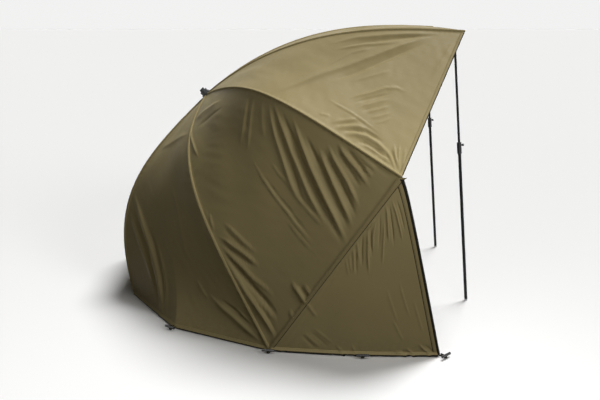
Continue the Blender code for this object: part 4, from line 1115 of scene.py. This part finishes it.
def build_loops(look):
    """Webbing loop from the hem round each peg's shaft."""
    far = PEG_CLEARANCE - PEG_BAR_HEIGHT * 0.5 * math.tan(PEG_LEAN)
    inner = loop_route(far)
    heading = unit(np.gradient(inner, axis=0))
    outer = inner + np.stack((heading[:, 1], -heading[:, 0]), 1) * WEBBING_THICKNESS
    sink = np.clip(inner[:, :1] / far, 0.0, 1.0) * LOOP_SINK
    flat = flat_places((shares(4) - 0.5) * WEBBING_WIDTH, shares(len(inner) - 1)[:, None] * LOOP_LENGTH)
    for side, sign in SIGNS.items():
        for place, (hem, body) in peg_spots(side).items():
            ahead, aside = LOOP_WAYS[place]
            out = unit(np.array((ahead, sign * aside, 0.0)))
            across = np.cross(out, UP)
            base = np.array((hem[0], hem[1], LOOP_LEVEL))
            sections = []
            for line, rise in ((inner, 0.0), (outer, 0.0), (outer, LOOP_HEIGHT), (inner, LOOP_HEIGHT)):
                sections.append(base + line[:, :1] * out + line[:, 1:] * across + UP * (rise - sink))
            grid = np.stack(sections + sections[:1], 1)
            piece = make_mesh(f"webbing_loop_{place}_{side}", grid, flat, look, -UP)
            piece.data.set_sharp_from_angle(angle=SHARP_ANGLE)
            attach(piece, body)


# Finishes of the solid pieces


def finish_frame(plastic, tube, steel, fibre, peg):
    """Procedural finish on every solid piece that the cloth doesn't replace."""
    for name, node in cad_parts.items():
        if name.startswith(("canopy_", "wing_")):
            continue
        if name.startswith("rib_"):
            look = fibre
        elif "wire" in name or "spike" in name:
            look = steel
        elif name.startswith(TUBES):
            look = tube
        elif name.startswith("peg_"):
            look = peg
        else:
            look = plastic
        node.data.materials.clear()
        node.data.materials.append(look)


# Studio


def paint_by_ray(tree, seen, unseen):
    """Colour that differs between what the camera or a mirror sees and other light."""
    path = tree.nodes.new("ShaderNodeLightPath")
    shown = add_math(tree, "MAXIMUM", path.outputs["Is Camera Ray"], path.outputs["Is Glossy Ray"])
    shown = add_math(tree, "MAXIMUM", shown, path.outputs["Is Transmission Ray"])
    return add_mix(tree, shown, unseen, seen)


def build_studio():
    """Pale floor, a plain world, two broad suns and two soft panels."""
    mesh = bpy.data.meshes.new("studio_floor")
    corners = ((-1, -1), (1, -1), (1, 1), (-1, 1))
    mesh.from_pydata([(x * FLOOR_REACH, y * FLOOR_REACH, 0.0) for x, y in corners], [], [(0, 1, 2, 3)])
    floor = add_object("studio_floor", mesh)
    look, tree, shader = principled("studio_floor_paint", FLOOR_SEEN, 0.9, {"Specular IOR Level": 0.0})
    feed(tree, shader.inputs["Base Color"], paint_by_ray(tree, FLOOR_SEEN, FLOOR_UNSEEN))
    mesh.materials.append(look)

    world = bpy.data.worlds.new("studio_world")
    world.use_nodes = True
    bpy.context.scene.world = world
    tree = world.node_tree
    feed(tree, tree.nodes["Background"].inputs["Color"], paint_by_ray(tree, WORLD_SEEN, WORLD_UNSEEN))
    for name, (turn, climb, level, angle) in SUNS.items():
        add_sun(name, math.radians(turn), math.radians(climb), level, math.radians(angle))
    for name, (spot, aim, size, power) in PANELS.items():
        add_panel(name, spot, aim, size, power)


def add_lamp(name, kind, energy, towards):
    """Lamp that shines along a direction."""
    lamp = add_object(name, bpy.data.lights.new(name, kind))
    lamp.data.energy = energy
    lamp.rotation_euler = towards.to_track_quat("-Z", "Y").to_euler()
    return lamp


def add_sun(name, turn, climb, level, angle):
    """Even light; at level 1 a surface square to it shows its own colour."""
    source = (math.cos(turn) * math.cos(climb), math.sin(turn) * math.cos(climb), math.sin(climb))
    add_lamp(name, "SUN", level * math.pi, -Vector(source)).data.angle = angle


def add_panel(name, spot, aim, size, power):
    """Soft square lamp near the umbrella, unseen by the camera."""
    lamp = add_lamp(name, "AREA", power, Vector(aim) - Vector(spot))
    lamp.data.size = size
    lamp.location = spot
    lamp.visible_camera = False


def build_camera():
    """Camera that gives the photo's frame."""
    data = bpy.data.cameras.new("photo_camera")
    data.lens = LENS
    data.sensor_width = SENSOR
    camera = add_object("photo_camera", data)
    camera.location = CAMERA_SPOT
    camera.rotation_euler = (math.pi / 2 - CAMERA_PITCH, 0.0, 0.0)
    bpy.context.scene.camera = camera


build_camera()
build_studio()
bpy.context.scene.view_settings.view_transform = "Standard"

cloth_look = nylon_look()
# Welt tape a little lighter than the cloth: painted highlight for the light that the welts over the
# ribs catch
seam_look = tape_look("seam_tape", shade(NYLON, 1.05), WELT_WIDTH)
wing_looks = {
    # Felled seam darker than the cloth: painted shade on the raised seam, with a painted shade line
    # along one edge
    "seam": tape_look("felled_seam", shade(NYLON, 0.84), FELLED_WIDTH, FELLED_SHADE_LINE),
    # Edge band with painted crease shade along its inner edge
    "front_band": tape_look("edge_band", shade(NYLON, 0.95), EDGE_HEM_WIDTH, EDGE_BAND_SHADE_LINE),
    "front_edge": tape_look("edge_binding", BINDING_BLACK_AND_PAINTED_SHADE, EDGE_TAPE_WIDTH),
    # Wing hem lighter than the cloth: painted light for its outward-tipped band, with a painted shadow
    # line under it
    "hem": tape_look("wing_hem_fold", shade(NYLON, 1.22), HEM_WIDTH, WING_HEM_SHADOW_LINE),
}
# Canopy hem with a painted shadow line along its lower edge
hem_look = tape_look("hem_fold", shade(NYLON, 0.98), HEM_WIDTH, HEM_SHADOW_LINE)
loop_look = tape_look("loop_webbing", WEBBING, WEBBING_WIDTH)
plastic = plastic_look("black_moulded_plastic", BLACK, 0.34, 900.0)
peg_look = plastic_look("glossy_black_peg", BLACK, 0.20, 900.0)
tube = metal_look("black_anodised_tube", ANODISED, 0.38)
steel = metal_look("bright_steel", STEEL, 0.30)
fibre = plastic_look("black_fibreglass", FIBREGLASS, 0.36, 1400.0)

build_canopy(cloth_look, seam_look, hem_look)
build_wings(cloth_look, wing_looks)
build_loops(loop_look)
finish_frame(plastic, tube, steel, fibre, peg_look)
